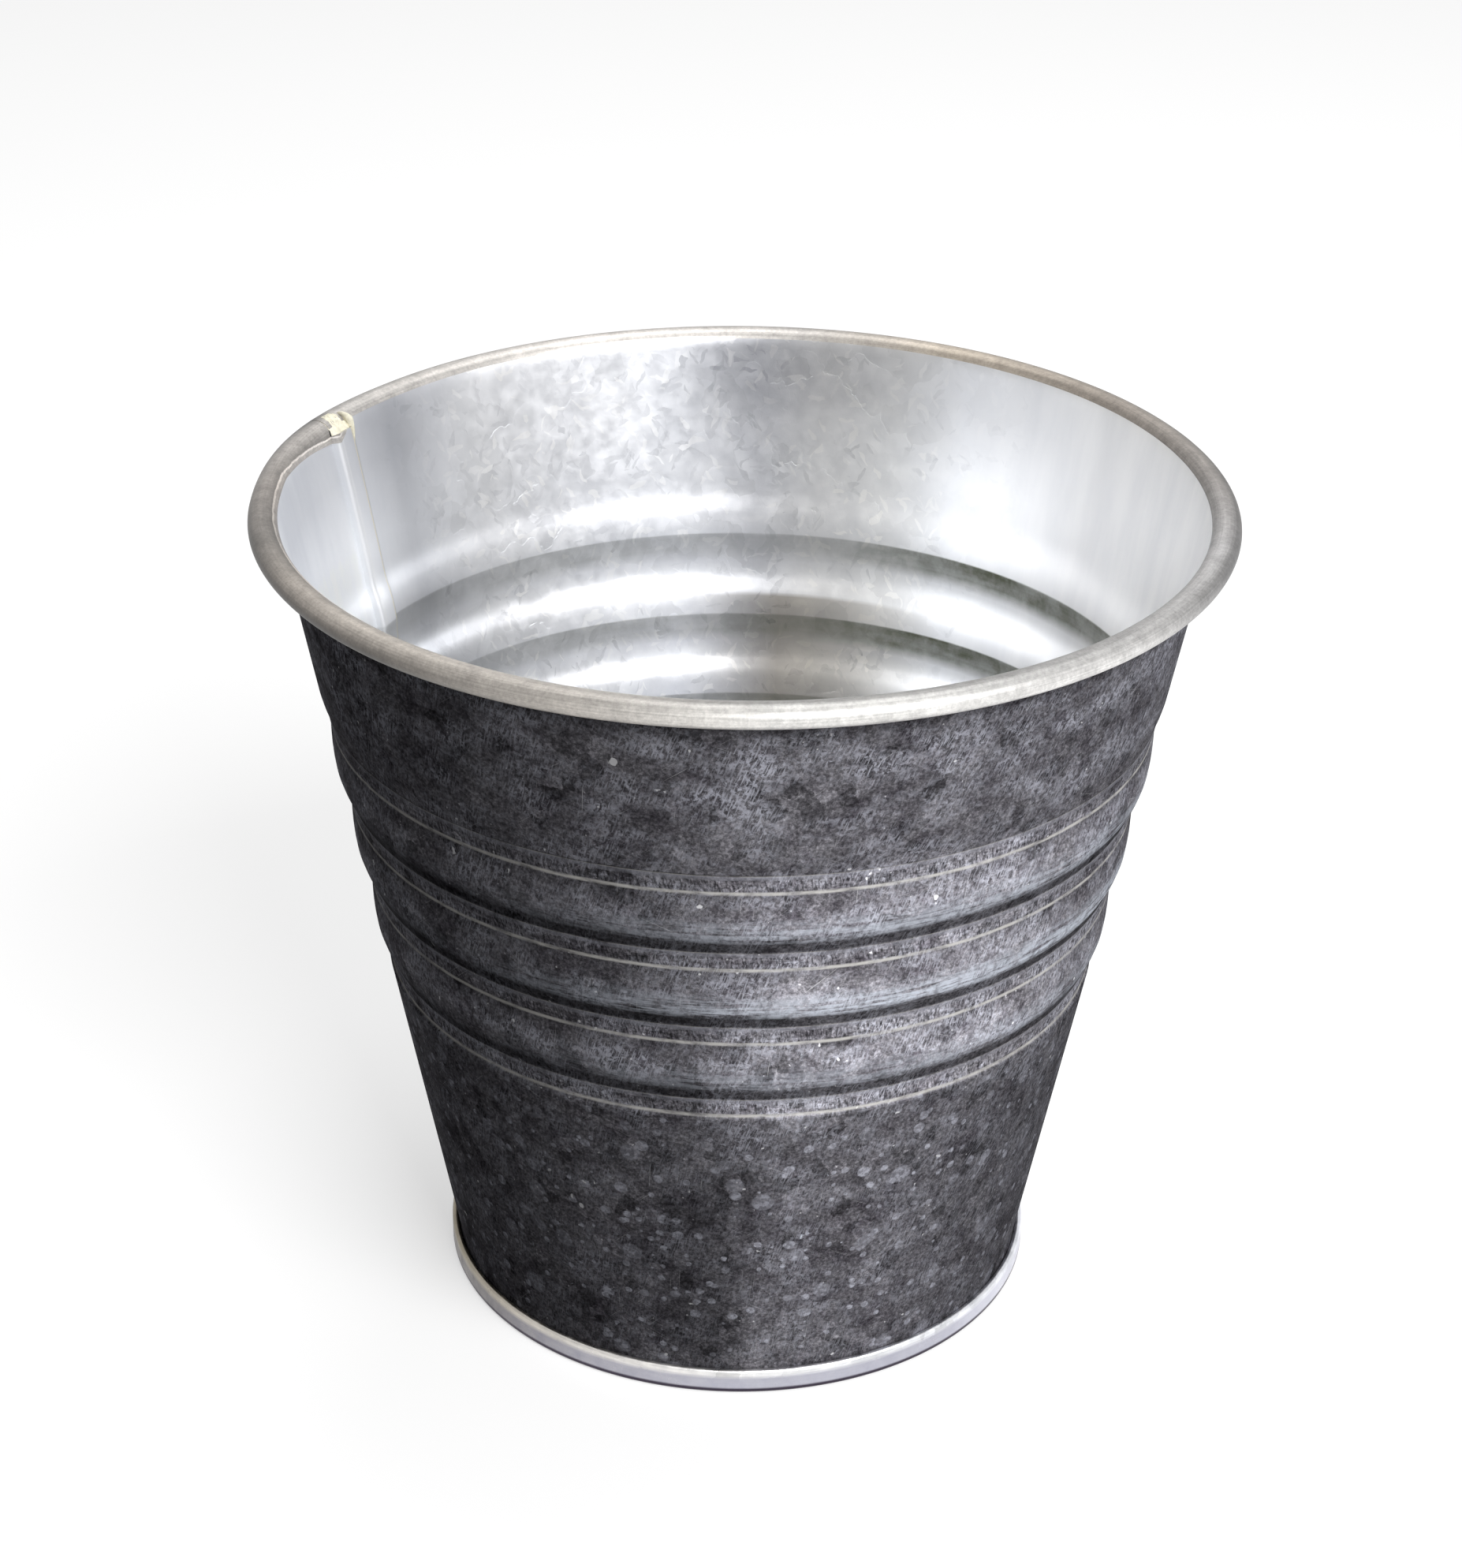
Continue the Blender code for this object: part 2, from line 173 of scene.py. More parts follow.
def wall_profile():
    """The wall's middle line as (radius, height) rows, from the foot's hook to the curl's mouth.

    The foot is an upright joined to a half turn, the wall is the cone plus its bead offset, and an arc leads
    into the curl, which is most of an oval.  Also returns the rows at which the seam starts and ends.
    """
    turn_height = 2 * PITCH + SHEET / 2
    hook_top = BASE_SEAM_HEIGHT - SHEET - HOOK_CLEARANCE - SHEET / 2
    turn = arc((FOOT_MIDDLE + PITCH, turn_height), PITCH, 0.0, -math.pi, BEND_STEPS)
    foot = np.vstack([[(FOOT_MIDDLE + 2 * PITCH, hook_top)], turn, [(FOOT_MIDDLE, CONE_FOOT)]])

    start_radius, start_height = oval(CURL_CENTRE, CURL_HALVES, CURL_START, CURL_START, 1)[0]
    excess = start_radius - cone_radius(start_height)
    corner_height = start_height - excess / (math.tan(FLARE_LEAN) - CONE_SLOPE)
    reach = FLARE_RADIUS * math.tan(FLARE_TURN / 2)
    flare_radius = cone_radius(corner_height) - reach * math.sin(CONE_LEAN)
    flare_foot = corner_height - reach * math.cos(CONE_LEAN)
    aside, down = FLARE_RADIUS * math.cos(CONE_LEAN), FLARE_RADIUS * math.sin(CONE_LEAN)
    centre = (flare_radius + aside, flare_foot - down)
    flare = arc(centre, FLARE_RADIUS, math.pi - CONE_LEAN, math.pi - FLARE_LEAN, BEND_STEPS)
    across, up = CURL_HALVES
    to_wall = across * up / math.hypot(up * math.cos(CURL_START), across * math.sin(CURL_START))
    curl_end = CURL_START - math.tau + math.acos(1 - (SHEET + CURL_MOUTH) / to_wall)
    curl = oval(CURL_CENTRE, CURL_HALVES, CURL_START - NOTCH_GAP / up, curl_end, CURL_STEPS)

    edges = [SEAM_START, SEAM_START + NOTCH_GAP]
    for band in range(BAND_COUNT):
        top = band_top(band)
        bottom = top - BAND_HEIGHT
        edges.extend([bottom - BAND_STEP, bottom - BAND_EDGE, bottom + BAND_EDGE, top, top + BAND_EASE])
    edges.append(flare_foot)
    heights = [np.array([edges[0]])]
    for first, second in zip(sorted(edges), sorted(edges)[1:]):
        steps = max(1, round((second - first) / ROW_PITCH))
        heights.append(np.linspace(first, second, steps + 1)[1:])
    heights = np.concatenate(heights)[:-1]
    wall = np.stack([cone_radius(heights) + bead_offset(heights), heights], axis=1)
    points = np.vstack([foot, wall, flare, curl])
    return points, len(foot), len(foot) + len(wall) + len(flare) - 1


def profile_normals(points):
    """Unit normals of a line of points, turned left of its run and lengthened at bends: the mean of the two
    neighbouring normals, divided by its own part along the first."""
    steps = np.diff(points, axis=0)
    steps /= np.linalg.norm(steps, axis=1, keepdims=True)
    normals = np.stack([-steps[:, 1], steps[:, 0]], axis=1)
    first = np.vstack([normals[:1], normals])
    second = np.vstack([normals, normals[-1:]])
    middle = first + second
    middle /= np.linalg.norm(middle, axis=1, keepdims=True)
    return middle / np.sum(middle * first, axis=1, keepdims=True)


def pushed_out(places):
    """Pushes the rim out beside the stiff seam: a squared cosine of the turn times a square of the height."""
    radius = np.hypot(places[..., 0], places[..., 1])
    turn = np.arctan2(places[..., 1], places[..., 0]) - SEAM_ANGLE - PUSH_ANGLE
    turn = (turn + math.pi) % math.tau - math.pi
    share = np.clip(np.abs(turn) / PUSH_WIDTH, 0.0, 1.0)
    above = np.clip((places[..., 2] - (HEIGHT - PUSH_REACH)) / PUSH_REACH, 0.0, 1.0)
    factor = 1.0 + PUSH_DEPTH * np.cos(math.pi / 2 * share) ** 2 * above ** 2 / radius
    return places * np.stack([factor, factor, np.ones_like(factor)], axis=-1)


def round_wall(profile, normals, along, layer, turn=0.0):
    """A grid of places: row r of the profile, moved `layer` along its normal, then set round the axis at the
    seam's angle plus the arc `along` divided by the row's radius, plus `turn`."""
    radius = profile[:, None, 0] + normals[:, None, 0] * layer
    height = profile[:, None, 1] + normals[:, None, 1] * layer
    angle = SEAM_ANGLE + along / profile[:, None, 0] + turn
    places = np.broadcast_arrays(radius * np.cos(angle), radius * np.sin(angle), height)
    return pushed_out(np.stack(places, axis=-1))


def grid_faces(used, wraps=False):
    """Quads of a grid numbered row by row, wherever `used` (one flag per quad) is set."""
    width = used.shape[1] + (0 if wraps else 1)
    row, column = np.nonzero(used)
    right = (column + 1) % width
    low, high = row * width, (row + 1) * width
    return np.stack([low + column, high + column, high + right, low + right], axis=1)


scene = bpy.context.scene


def add_piece(name, places, *face_groups, shares=None):
    """A mesh object at the origin from an array of places and arrays of faces, with points that no face uses
    left out.  `shares` are two numbers per point that become the UV map `sheet`."""
    kept = np.unique(np.concatenate([group.ravel() for group in face_groups]))
    renumbered = np.full(len(places), -1)
    renumbered[kept] = np.arange(len(kept))
    mesh = bpy.data.meshes.new(name)
    mesh.from_pydata(places[kept], [], [face for group in face_groups for face in renumbered[group].tolist()])
    if shares is not None:
        layer = mesh.uv_layers.new(name="sheet")
        corners = np.empty(len(mesh.loops), np.int32)
        mesh.loops.foreach_get("vertex_index", corners)
        layer.data.foreach_set("uv", shares[kept][corners].astype(np.float32).ravel())
    mesh.validate()
    piece = bpy.data.objects.new(name, mesh)
    scene.collection.objects.link(piece)
    return piece


def thicken(piece, near, far):
    """Gives a middle surface the sheet's thickness, half to each side, and each side its material."""
    piece.data.materials.append(near)
    piece.data.materials.append(far)
    solidify = piece.modifiers.new("sheet", "SOLIDIFY")
    solidify.thickness = SHEET
    solidify.offset = 0.0
    solidify.use_even_offset = solidify.use_quality_normals = True
    solidify.material_offset = solidify.material_offset_rim = 1
    graph = bpy.context.evaluated_depsgraph_get()
    solid = bpy.data.meshes.new_from_object(piece.evaluated_get(graph), depsgraph=graph)
    piece.modifiers.clear()
    piece.data = solid
    solid.shade_smooth()
    solid.set_sharp_from_angle(angle=SHARP_ANGLE)


def build_wall():
    """Columns run from the first edge's hook round the cone to the last edge's hook, rows up the profile."""
    profile, low_notch, high_notch = wall_profile()
    normals = profile_normals(profile)
    first_nose = arc((SEAM_HALF_WIDTH, PITCH), PITCH, math.pi / 2, -math.pi / 2, BEND_STEPS)
    first_hook = np.vstack([[(HOOK_CLEARANCE - SEAM_HALF_WIDTH, 2 * PITCH)], first_nose])
    step_centre = (SEAM_HALF_WIDTH + STEP_CLEARANCE, PITCH)
    step_up = arc(step_centre, 2 * PITCH, STEP_LEAN, math.pi / 2, SMALL_BEND_STEPS)
    last_nose = arc((-SEAM_HALF_WIDTH, 2 * PITCH), PITCH, math.pi / 2, 3 * math.pi / 2, BEND_STEPS)
    last_end = (SEAM_HALF_WIDTH - HOOK_CLEARANCE, PITCH)
    last_hook = np.vstack([[(STEP_FOOT, 0.0)], step_up, last_nose, [last_end]])
    share = np.linspace(0.0, 1.0, WALL_COLUMNS + 1)[1:-1]
    wall_along = SEAM_HALF_WIDTH + (STEP_FOOT - SEAM_HALF_WIDTH) * share
    along = np.concatenate([first_hook[:, 0], wall_along, last_hook[:, 0], [STEP_FOOT - BUTT_GAP]])
    layer = np.concatenate([first_hook[:, 1], 0.0 * share, last_hook[:, 1], [0.0]])
    turn = np.concatenate([0.0 * first_hook[:, 0], -math.tau * share, 0.0 * last_hook[:, 0] - math.tau, [0]])
    places = round_wall(profile, normals, along, layer, turn)
    rows, columns = places.shape[:2]
    wall_start = len(first_hook) - 1
    wall_end = wall_start + WALL_COLUMNS
    used = np.zeros((rows - 1, columns - 1), bool)
    used[:, wall_start:wall_end] = True
    used[low_notch + 1:high_notch, :columns - 2] = True
    faces = grid_faces(used)
    open_rows = np.array([r for r in range(rows - 1) if r < low_notch or r > high_notch])
    start, tongue = open_rows * columns + wall_start, open_rows * columns + columns - 1
    faces = np.vstack([faces, np.stack([start, tongue, tongue + columns, start + columns], axis=1)])
    run = np.concatenate([[0.0], np.cumsum(np.linalg.norm(np.diff(profile, axis=0), axis=1))])
    unrolled = profile[high_notch, 1] + run - run[high_notch]
    level = np.where(np.arange(rows) > high_notch, unrolled, profile[:, 1])
    around = (along / CURL_CENTRE[0] + turn) * CURL_CENTRE[0]
    shares = np.stack(np.broadcast_arrays(around[None, :], level[:, None]), axis=-1)
    return add_piece("wall_sheet", places.reshape(-1, 3), faces, shares=shares.reshape(-1, 2))


SPOT_WIDTHS = (0.10, 0.26)
SPOT_RAGGEDNESS = 0.16
SPOT_MEAN_SHIFT = 0.08


class Finish:
    """A material being put together: its node tree, its shader, and short ways to add the nodes used here.

    Wherever a source is asked for, a node stands for its first output and a number sets the input itself.
    `turn` is the share of a turn round the axis: 0 and 1 at the left, 0.25 at the front, 0.5 at the right and
    0.75 at the back.
    """

    def __init__(self, name):
        self.material = bpy.data.materials.new(name)
        self.material.use_nodes = True
        self.tree = self.material.node_tree
        self.shader = self.tree.nodes["Principled BSDF"]
        self.place = self.add("TexCoord").outputs["Object"]
        split = self.add("SeparateXYZ", self.place)
        turn = self.maths("ARCTAN2", split.outputs[1], split.outputs[0])
        self.turn = self.scaled(turn, 0.5 / math.pi, 0.5)
        self.height = split.outputs[2]

    def feed(self, socket, source):
        if isinstance(source, bpy.types.Node):
            source = source.outputs[0]
        if isinstance(source, bpy.types.NodeSocket):
            self.tree.links.new(source, socket)
        else:
            socket.default_value = source

    def add(self, kind, *sources, **settings):
        """A shader node with its settings made and its first inputs fed in order."""
        made = self.tree.nodes.new("ShaderNode" + kind)
        for setting, value in settings.items():
            setattr(made, setting, value)
        for socket, source in zip(made.inputs, sources):
            self.feed(socket, source)
        return made

    def maths(self, operation, *sources):
        return self.add("Math", *sources, operation=operation)

    def scaled(self, value, factor, amount):
        """The value times a factor, plus an amount."""
        return self.maths("MULTIPLY_ADD", value, factor, amount)

    def most(self, greatest, *others):
        """The greatest of several values."""
        for other in others:
            greatest = self.maths("MAXIMUM", greatest, other)
        return greatest

    def product(self, product, *others):
        """The product of several values."""
        for other in others:
            product = self.maths("MULTIPLY", product, other)
        return product

    def noise(self, place, size, detail=3.0, roughness=0.55):
        """Noise whose largest features have this size in metres."""
        made = self.add("TexNoise", place)
        for name, value in (("Scale", 1.0 / size), ("Detail", detail), ("Roughness", roughness)):
            made.inputs[name].default_value = value
        return made

    def blots(self, noise, low, high):
        """Noise cut to the whole of 0 to 1: nothing where it is under `low`, full where it is over `high`."""
        return self.ramp(noise, (low, 0.0), (high, 1.0))

    def cells(self, place, size):
        """Crystal-like cells of this size in metres."""
        made = self.add("TexVoronoi", place)
        made.inputs["Scale"].default_value = 1.0 / size
        return made

    def pick(self, cells):
        """A random value for each cell."""
        return self.add("SeparateColor", cells.outputs["Color"])

    def spots(self, place, size, least):
        """Round spots of random widths, in those cells of this size whose random value is over `least`, and
        the rings round their edges."""
        cells = self.cells(place, size)
        chance = self.pick(cells)
        radius = self.scaled(chance.outputs[1], SPOT_WIDTHS[1], SPOT_WIDTHS[0])
        shaken = self.scaled(self.noise(place, size * 0.4, 2.0), SPOT_RAGGEDNESS, cells)
        inside = self.maths("SUBTRACT", self.maths("ADD", radius, SPOT_MEAN_SHIFT), shaken)
        chosen = self.maths("GREATER_THAN", chance, least)
        disc = self.product(self.blots(inside, 0.0, 0.04), chosen)
        ring = self.product(self.ramp(self.maths("ABSOLUTE", inside), (0.0, 1.0), (0.05, 0.0)), chosen)
        return disc, ring

    def stretched(self, place, sizes, turn=0.0):
        """Coordinates turned about the third axis and counted in these sizes."""
        return self.add("Mapping", place, (0.0, 0.0, 0.0), (0.0, 0.0, turn), sizes, vector_type="TEXTURE")

    def shaken(self, place, size, amount):
        """Coordinates moved to and fro by noise."""
        return self.mix(amount, place, self.noise(place, size, 2.0).outputs["Color"], blend="ADD")

    def ramp(self, share, *stops):
        """A grey or colour that runs through the stops, each a position with its grey or colour."""
        made = self.add("ValToRGB", share)
        elements = made.color_ramp.elements
        for number, (position, value) in enumerate(stops):
            element = elements[number] if number < 2 else elements.new(position)
            element.position = position
            element.color = (*value, 1.0) if isinstance(value, tuple) else (value, value, value, 1.0)
        return made

    def mix(self, share, first, second, blend="MIX"):
        made = self.add("Mix", data_type="RGBA", blend_type=blend)
        self.feed(made.inputs[0], share)
        for socket, source in ((made.inputs[6], first), (made.inputs[7], second)):
            self.feed(socket, (*source, 1.0) if isinstance(source, tuple) else source)
        return made.outputs[2]

    def times(self, colour, *factors):
        for factor in factors:
            colour = self.mix(1.0, colour, factor, blend="MULTIPLY")
        return colour

    def streaks(self, length, width, detail=3.0, roughness=0.55, turn=0.0):
        """Noise of this length round the wall and this width up it, turned by an angle."""
        return self.noise(self.stretched(self.sheet, (length, width, 1.0), turn), 1.0, detail, roughness)

    def scratches(self, turn, length, width, least):
        """Thin straight lines: noise much longer than wide, kept only where it is over `least`."""
        return self.blots(self.streaks(length, width, 2.0, turn=turn), least, least + 0.05)

    def follow_bands(self):
        """Reads the sheet's own map, metres round the wall and up it, and finds the place among the bands.

        `cycle` counts spacings down from the first band's top, `part` is the share of the present one, and
        `banded` is 1 from the first band's top to the last band's bottom.
        """
        self.sheet = self.add("UVMap", uv_map="sheet").outputs[0]
        self.level = self.add("SeparateXYZ", self.sheet).outputs[1]
        below = self.maths("SUBTRACT", HEIGHT - BAND_DROP, self.level)
        self.cycle = self.maths("DIVIDE", below, BAND_SPACING)
        self.part = self.maths("FRACT", self.cycle)
        ended = self.maths("LESS_THAN", self.cycle, BAND_COUNT - 1 + BAND_SHARE + 0.03)
        self.banded = self.product(self.maths("GREATER_THAN", self.cycle, -0.02), ended)

    def finish(self, colour, roughness, metallic, relief, depth):
        """Wires the shader.  `relief` is a height between 0 and 1, and `depth` its full depth in metres."""
        bump = self.add("Bump")
        bump.inputs["Distance"].default_value = depth
        self.feed(bump.inputs["Height"], relief)
        given = {"Base Color": colour, "Roughness": roughness, "Metallic": metallic, "Normal": bump}
        for name, source in given.items():
            self.feed(self.shader.inputs[name], source)
        return self.material


BAND_SHARE = BAND_HEIGHT / BAND_SPACING
# Dark tones of the outside: weathered patina, and also a painted reflection of dark surroundings.
DARK_PATINA_AND_SHADE = (0.043, 0.039, 0.047)
GREY_PATINA_AND_SHADE = (0.150, 0.146, 0.159)
FLECK = (0.38, 0.385, 0.44)
# Pale worn band edge, also a painted highlight along the creases.
WORN_EDGE_AND_HIGHLIGHT = (0.60, 0.585, 0.56)
RUBBED_ZINC = (0.60, 0.64, 0.72)
CHALK = (0.72, 0.72, 0.74)
OUTSIDE_CRYSTAL = 0.0026
OUTSIDE_RELIEF = 0.00004
PATINA_TINT = (0.4, 0.4, 0.4, 1.0)
# The size, least random value and strength of each kind of round spot.
SPOTS = ((0.0048, 0.60, 0.50), (0.0026, 0.66, 0.75), (0.0017, 0.74, 0.95))
# The turn, length, width and least noise of each family of long scratches.
LONG_SCRATCHES = ((0.6, 0.012, 0.00014, 0.70), (-0.35, 0.016, 0.00012, 0.71), (1.45, 0.010, 0.00018, 0.70))


def weathered_zinc():
    """Dark patina in clouds over zinc crystals, hatched in the bands, rubbed pale along the crests, painted
    with light and shade.
    """
    paint = Finish("weathered zinc")
    ramp, mix, product = paint.ramp, paint.mix, paint.product
    paint.follow_bands()
    place, sheet, turn, part = paint.place, paint.sheet, paint.turn, paint.part
    rise = paint.maths("DIVIDE", paint.level, HEIGHT)
    band = paint.maths("DIVIDE", paint.cycle, BAND_COUNT)

    # The patina: clouds, finer mottling and a grain over the tone of each crystal, its dark tones partly a
    # painted reflection of dark surroundings.
    clouds = paint.blots(paint.noise(place, 0.012, 4, 0.6), 0.36, 0.64)
    mottle = paint.blots(paint.noise(place, 0.0024, 5, 0.7), 0.36, 0.64)
    grain = ramp(paint.noise(place, 0.0005, 4, 0.7), (0.34, 0.42), (0.5, 0.92), (0.66, 1.9))
    share = paint.scaled(clouds, 0.35, product(mottle, 0.6))
    tone = paint.times(mix(share, DARK_PATINA_AND_SHADE, GREY_PATINA_AND_SHADE), grain)
    crystal = paint.pick(paint.cells(paint.shaken(sheet, 0.0022, 0.0022), OUTSIDE_CRYSTAL))
    shades = ((0, 0.5), (0.12, 0.72), (0.16, 0.98), (0.88, 1.05), (0.92, 1.3), (1, 1.5))
    tone = paint.times(tone, ramp(crystal, *shades))

    # Pale oxide: flecks and short slanting strokes in patches, thinner on the lower wall.
    flecks = paint.blots(paint.noise(place, 0.0008, 5, 0.7), 0.49, 0.59)
    patches = paint.blots(paint.streaks(0.011, 0.0058, 5, 0.65), 0.42, 0.62)
    strokes = paint.streaks(0.0022, 0.0003, turn=math.radians(68.0))
    speckles = paint.most(flecks, paint.blots(strokes, 0.5, 0.62))
    cover = ramp(rise, (0.36, 0.46), (0.44, 0.74), (0.78, 0.58), (0.83, 0.72), (0.89, 0.95), (0.94, 0.88))
    tone = mix(product(patches, speckles, cover), tone, FLECK)

    # Marks of the lower wall: dried drops, each a pale spot in a ring, and slanting drips.
    low = ramp(rise, (0.36, 1), (0.44, 0.25))
    speckled = paint.scaled(flecks, 0.75, 0.45)
    for size, least, strength in SPOTS:
        for mark in paint.spots(place, size, least):
            tone = mix(product(mark, low, speckled, strength), tone, FLECK)
    drips = ramp(paint.streaks(0.0013, 0.006, 4, 0.6, -0.25), (0.66, 0), (0.74, 0.75))
    tone = mix(product(drips, flecks, low), tone, RUBBED_ZINC)

    # Chips and scratches.
    large = ramp(paint.noise(place, 0.0021, 2), (0.735, 0), (0.755, 0.7))
    small = ramp(paint.noise(place, 0.001, 2), (0.745, 0), (0.765, 0.6))
    tone = mix(paint.most(large, small), tone, CHALK)
    lines = product(paint.scratches(0.85, 0.009, 0.00022, 0.58), paint.scratches(0.7, 0.014, 0.003, 0.5))
    corner = product(ramp(turn, (0.32, 0), (0.37, 1), (0.46, 1), (0.6, 0)), low)
    tone = mix(product(lines, corner, 0.55), tone, FLECK)
    lines = paint.most(*(paint.scratches(*kind) for kind in LONG_SCRATCHES))
    tone = mix(product(lines, 0.4), tone, CHALK)

    # Painted light and shade on the bulges: lighter on their upper and middle slopes, painted shade on their
    # lower slopes just above the next band, and painted light on the front and right; below the third band a
    # little lighter.
    swell = ramp(
        part, (0, 1.15), (BAND_SHARE, 1.1), (0.25, 1), (0.36, 1.25), (0.55, 1.45), (0.7, 1.25), (0.8, 0.75),
        (0.86, 0.42), (0.965, 0.34), (0.985, 0.6),
    )
    lit = ramp(
        turn, (0.15, 1), (0.19, 0.84), (0.23, 0.9), (0.268, 1.38), (0.31, 1.42), (0.353, 1.5),
        (0.4, 1.12), (0.46, 1),
    )
    lowest = ramp(band, (0.46, 1), (0.56, 1.12))
    tone = mix(paint.banded, tone, paint.times(tone, swell, lit, lowest))

    # The bands: a hatched ground between two worn edges, lightened also as painted highlights along the
    # creases.
    strokes = paint.streaks(0.00036, 0.0018, 2.5, turn=0.2)
    hatch = paint.scaled(paint.streaks(0.0026, 0.0005, 2.5), 0.45, strokes)
    hatch = ramp(hatch, (0.58, 0.42), (0.68, 0.95), (0.8, 1.4))
    field = ramp(part, (0.035, 0), (0.055, 1), (0.19, 1), (0.205, 0))
    tone = mix(product(field, paint.banded), tone, paint.times(tone, hatch))
    worn = ramp(paint.streaks(0.0038, 0.0008), (0.34, 0.3), (0.56, 1))
    lower_stops = ((-0.034, 0), (-0.014, 1), (0.008, 0.9), (0.024, 0))
    lower_edge = ramp(part, *((BAND_SHARE + shift, amount) for shift, amount in lower_stops))
    upper_edge = ramp(part, (0, 0.5), (0.045, 0.25), (0.055, 0), (0.985, 0), (1, 0.6))
    edge_wear_and_highlight = product(paint.most(lower_edge, upper_edge), paint.banded, worn, 0.85)
    tone = mix(edge_wear_and_highlight, tone, mix(paint.maths("GREATER_THAN", part, 0.1), FLECK, WORN_EDGE_AND_HIGHLIGHT))

    # Zinc rubbed bare in ragged streaks under the crests, most on the middle bulge.
    crest = ramp(part, (0.5, 0), (0.64, 0.7), (0.76, 1), (0.82, 0.6), (0.86, 0))
    ragged = paint.blots(paint.streaks(0.012, 0.0007, 6, 0.7), 0.41, 0.52)
    bulge = ramp(band, (0, 0.6), (0.25, 1), (0.5, 0.45), (0.75, 0))
    bulge.color_ramp.interpolation = "CONSTANT"
    side = ramp(turn, (0.14, 0.1), (0.23, 0.65), (0.3, 1), (0.5, 1), (0.6, 0.3), (1, 0.1))
    torn = ramp(paint.noise(place, 0.0016, 5, 0.7), (0.4, 0.4), (0.54, 1))
    rubbed = product(crest, ragged, torn, bulge, side, paint.banded)
    tone = mix(rubbed, tone, RUBBED_ZINC)

    # Painted shade, darkest on the left and dark behind; a painted shadow under the rim; and the lower wall
    # darker in some wandering columns and lighter in others down to the foot.
    side_shade = ramp(
        turn, (0, 0.42), (0.1, 0.28), (0.155, 0.3), (0.19, 0.48), (0.225, 0.72), (0.25, 1), (0.38, 1),
        (0.46, 0.9), (0.6, 0.6), (0.85, 0.5), (1, 0.42),
    )
    rim_shadow = ramp(rise, (0.94, 1), (0.962, 0.45))
    wander = paint.maths("SUBTRACT", turn, 0.03)
    wander = paint.scaled(paint.noise(place, 0.018, 4, 0.6), 0.06, wander)
    foot = ramp(
        wander, (0.19, 1), (0.22, 0.62), (0.24, 0.56), (0.27, 1.1), (0.33, 1.05), (0.37, 0.75), (0.41, 0.65),
        (0.6, 0.7), (0.9, 1),
    )
    tone = paint.times(tone, side_shade, rim_shadow, mix(low, (1.0, 1.0, 1.0), foot))

    # The patina is almost matt: only rubbed zinc is metal.
    bare = paint.scaled(rubbed, 0.3, paint.scaled(mottle, 0.12, 0.08))
    roughness = paint.scaled(mottle, 0.18, 0.36)
    paint.shader.inputs["Specular IOR Level"].default_value = 0.0
    paint.shader.inputs["Specular Tint"].default_value = PATINA_TINT
    return paint.finish(tone, roughness, bare, mix(0.4, mottle, crystal), OUTSIDE_RELIEF)


# Grime under the bands, also a painted shadow.
GRIME_AND_SHADOW = (0.150, 0.158, 0.115)
PALE_ZINC = (0.955, 0.960, 0.975)
GREY_ZINC = (0.80, 0.81, 0.84)
SHARD = (0.34, 0.35, 0.38)
GLINT = (0.99, 0.99, 0.99)
SEAM_SHADE = (0.15, 0.15, 0.11)
SEAM_STAIN = (0.86, 0.80, 0.60)
SEAM_GLEAM = (0.98, 0.98, 0.98)
INSIDE_CRYSTAL = 0.0045
INSIDE_RELIEF = 0.00002
# The turn, width and length of each family of shards.
SHARDS = ((0.5, 0.0007, 0.0022), (-0.7, 0.0006, 0.0019), (1.5, 0.0008, 0.0023))
SEAM_TURN = SEAM_ANGLE / math.tau + 0.5
SEAM_SIDE = 0.010
RIM_METAL = 0.55
CURL_LEVEL = HEIGHT - 0.0012
CURL_REACH = 0.0060
FLAT_RIM = 0.0022


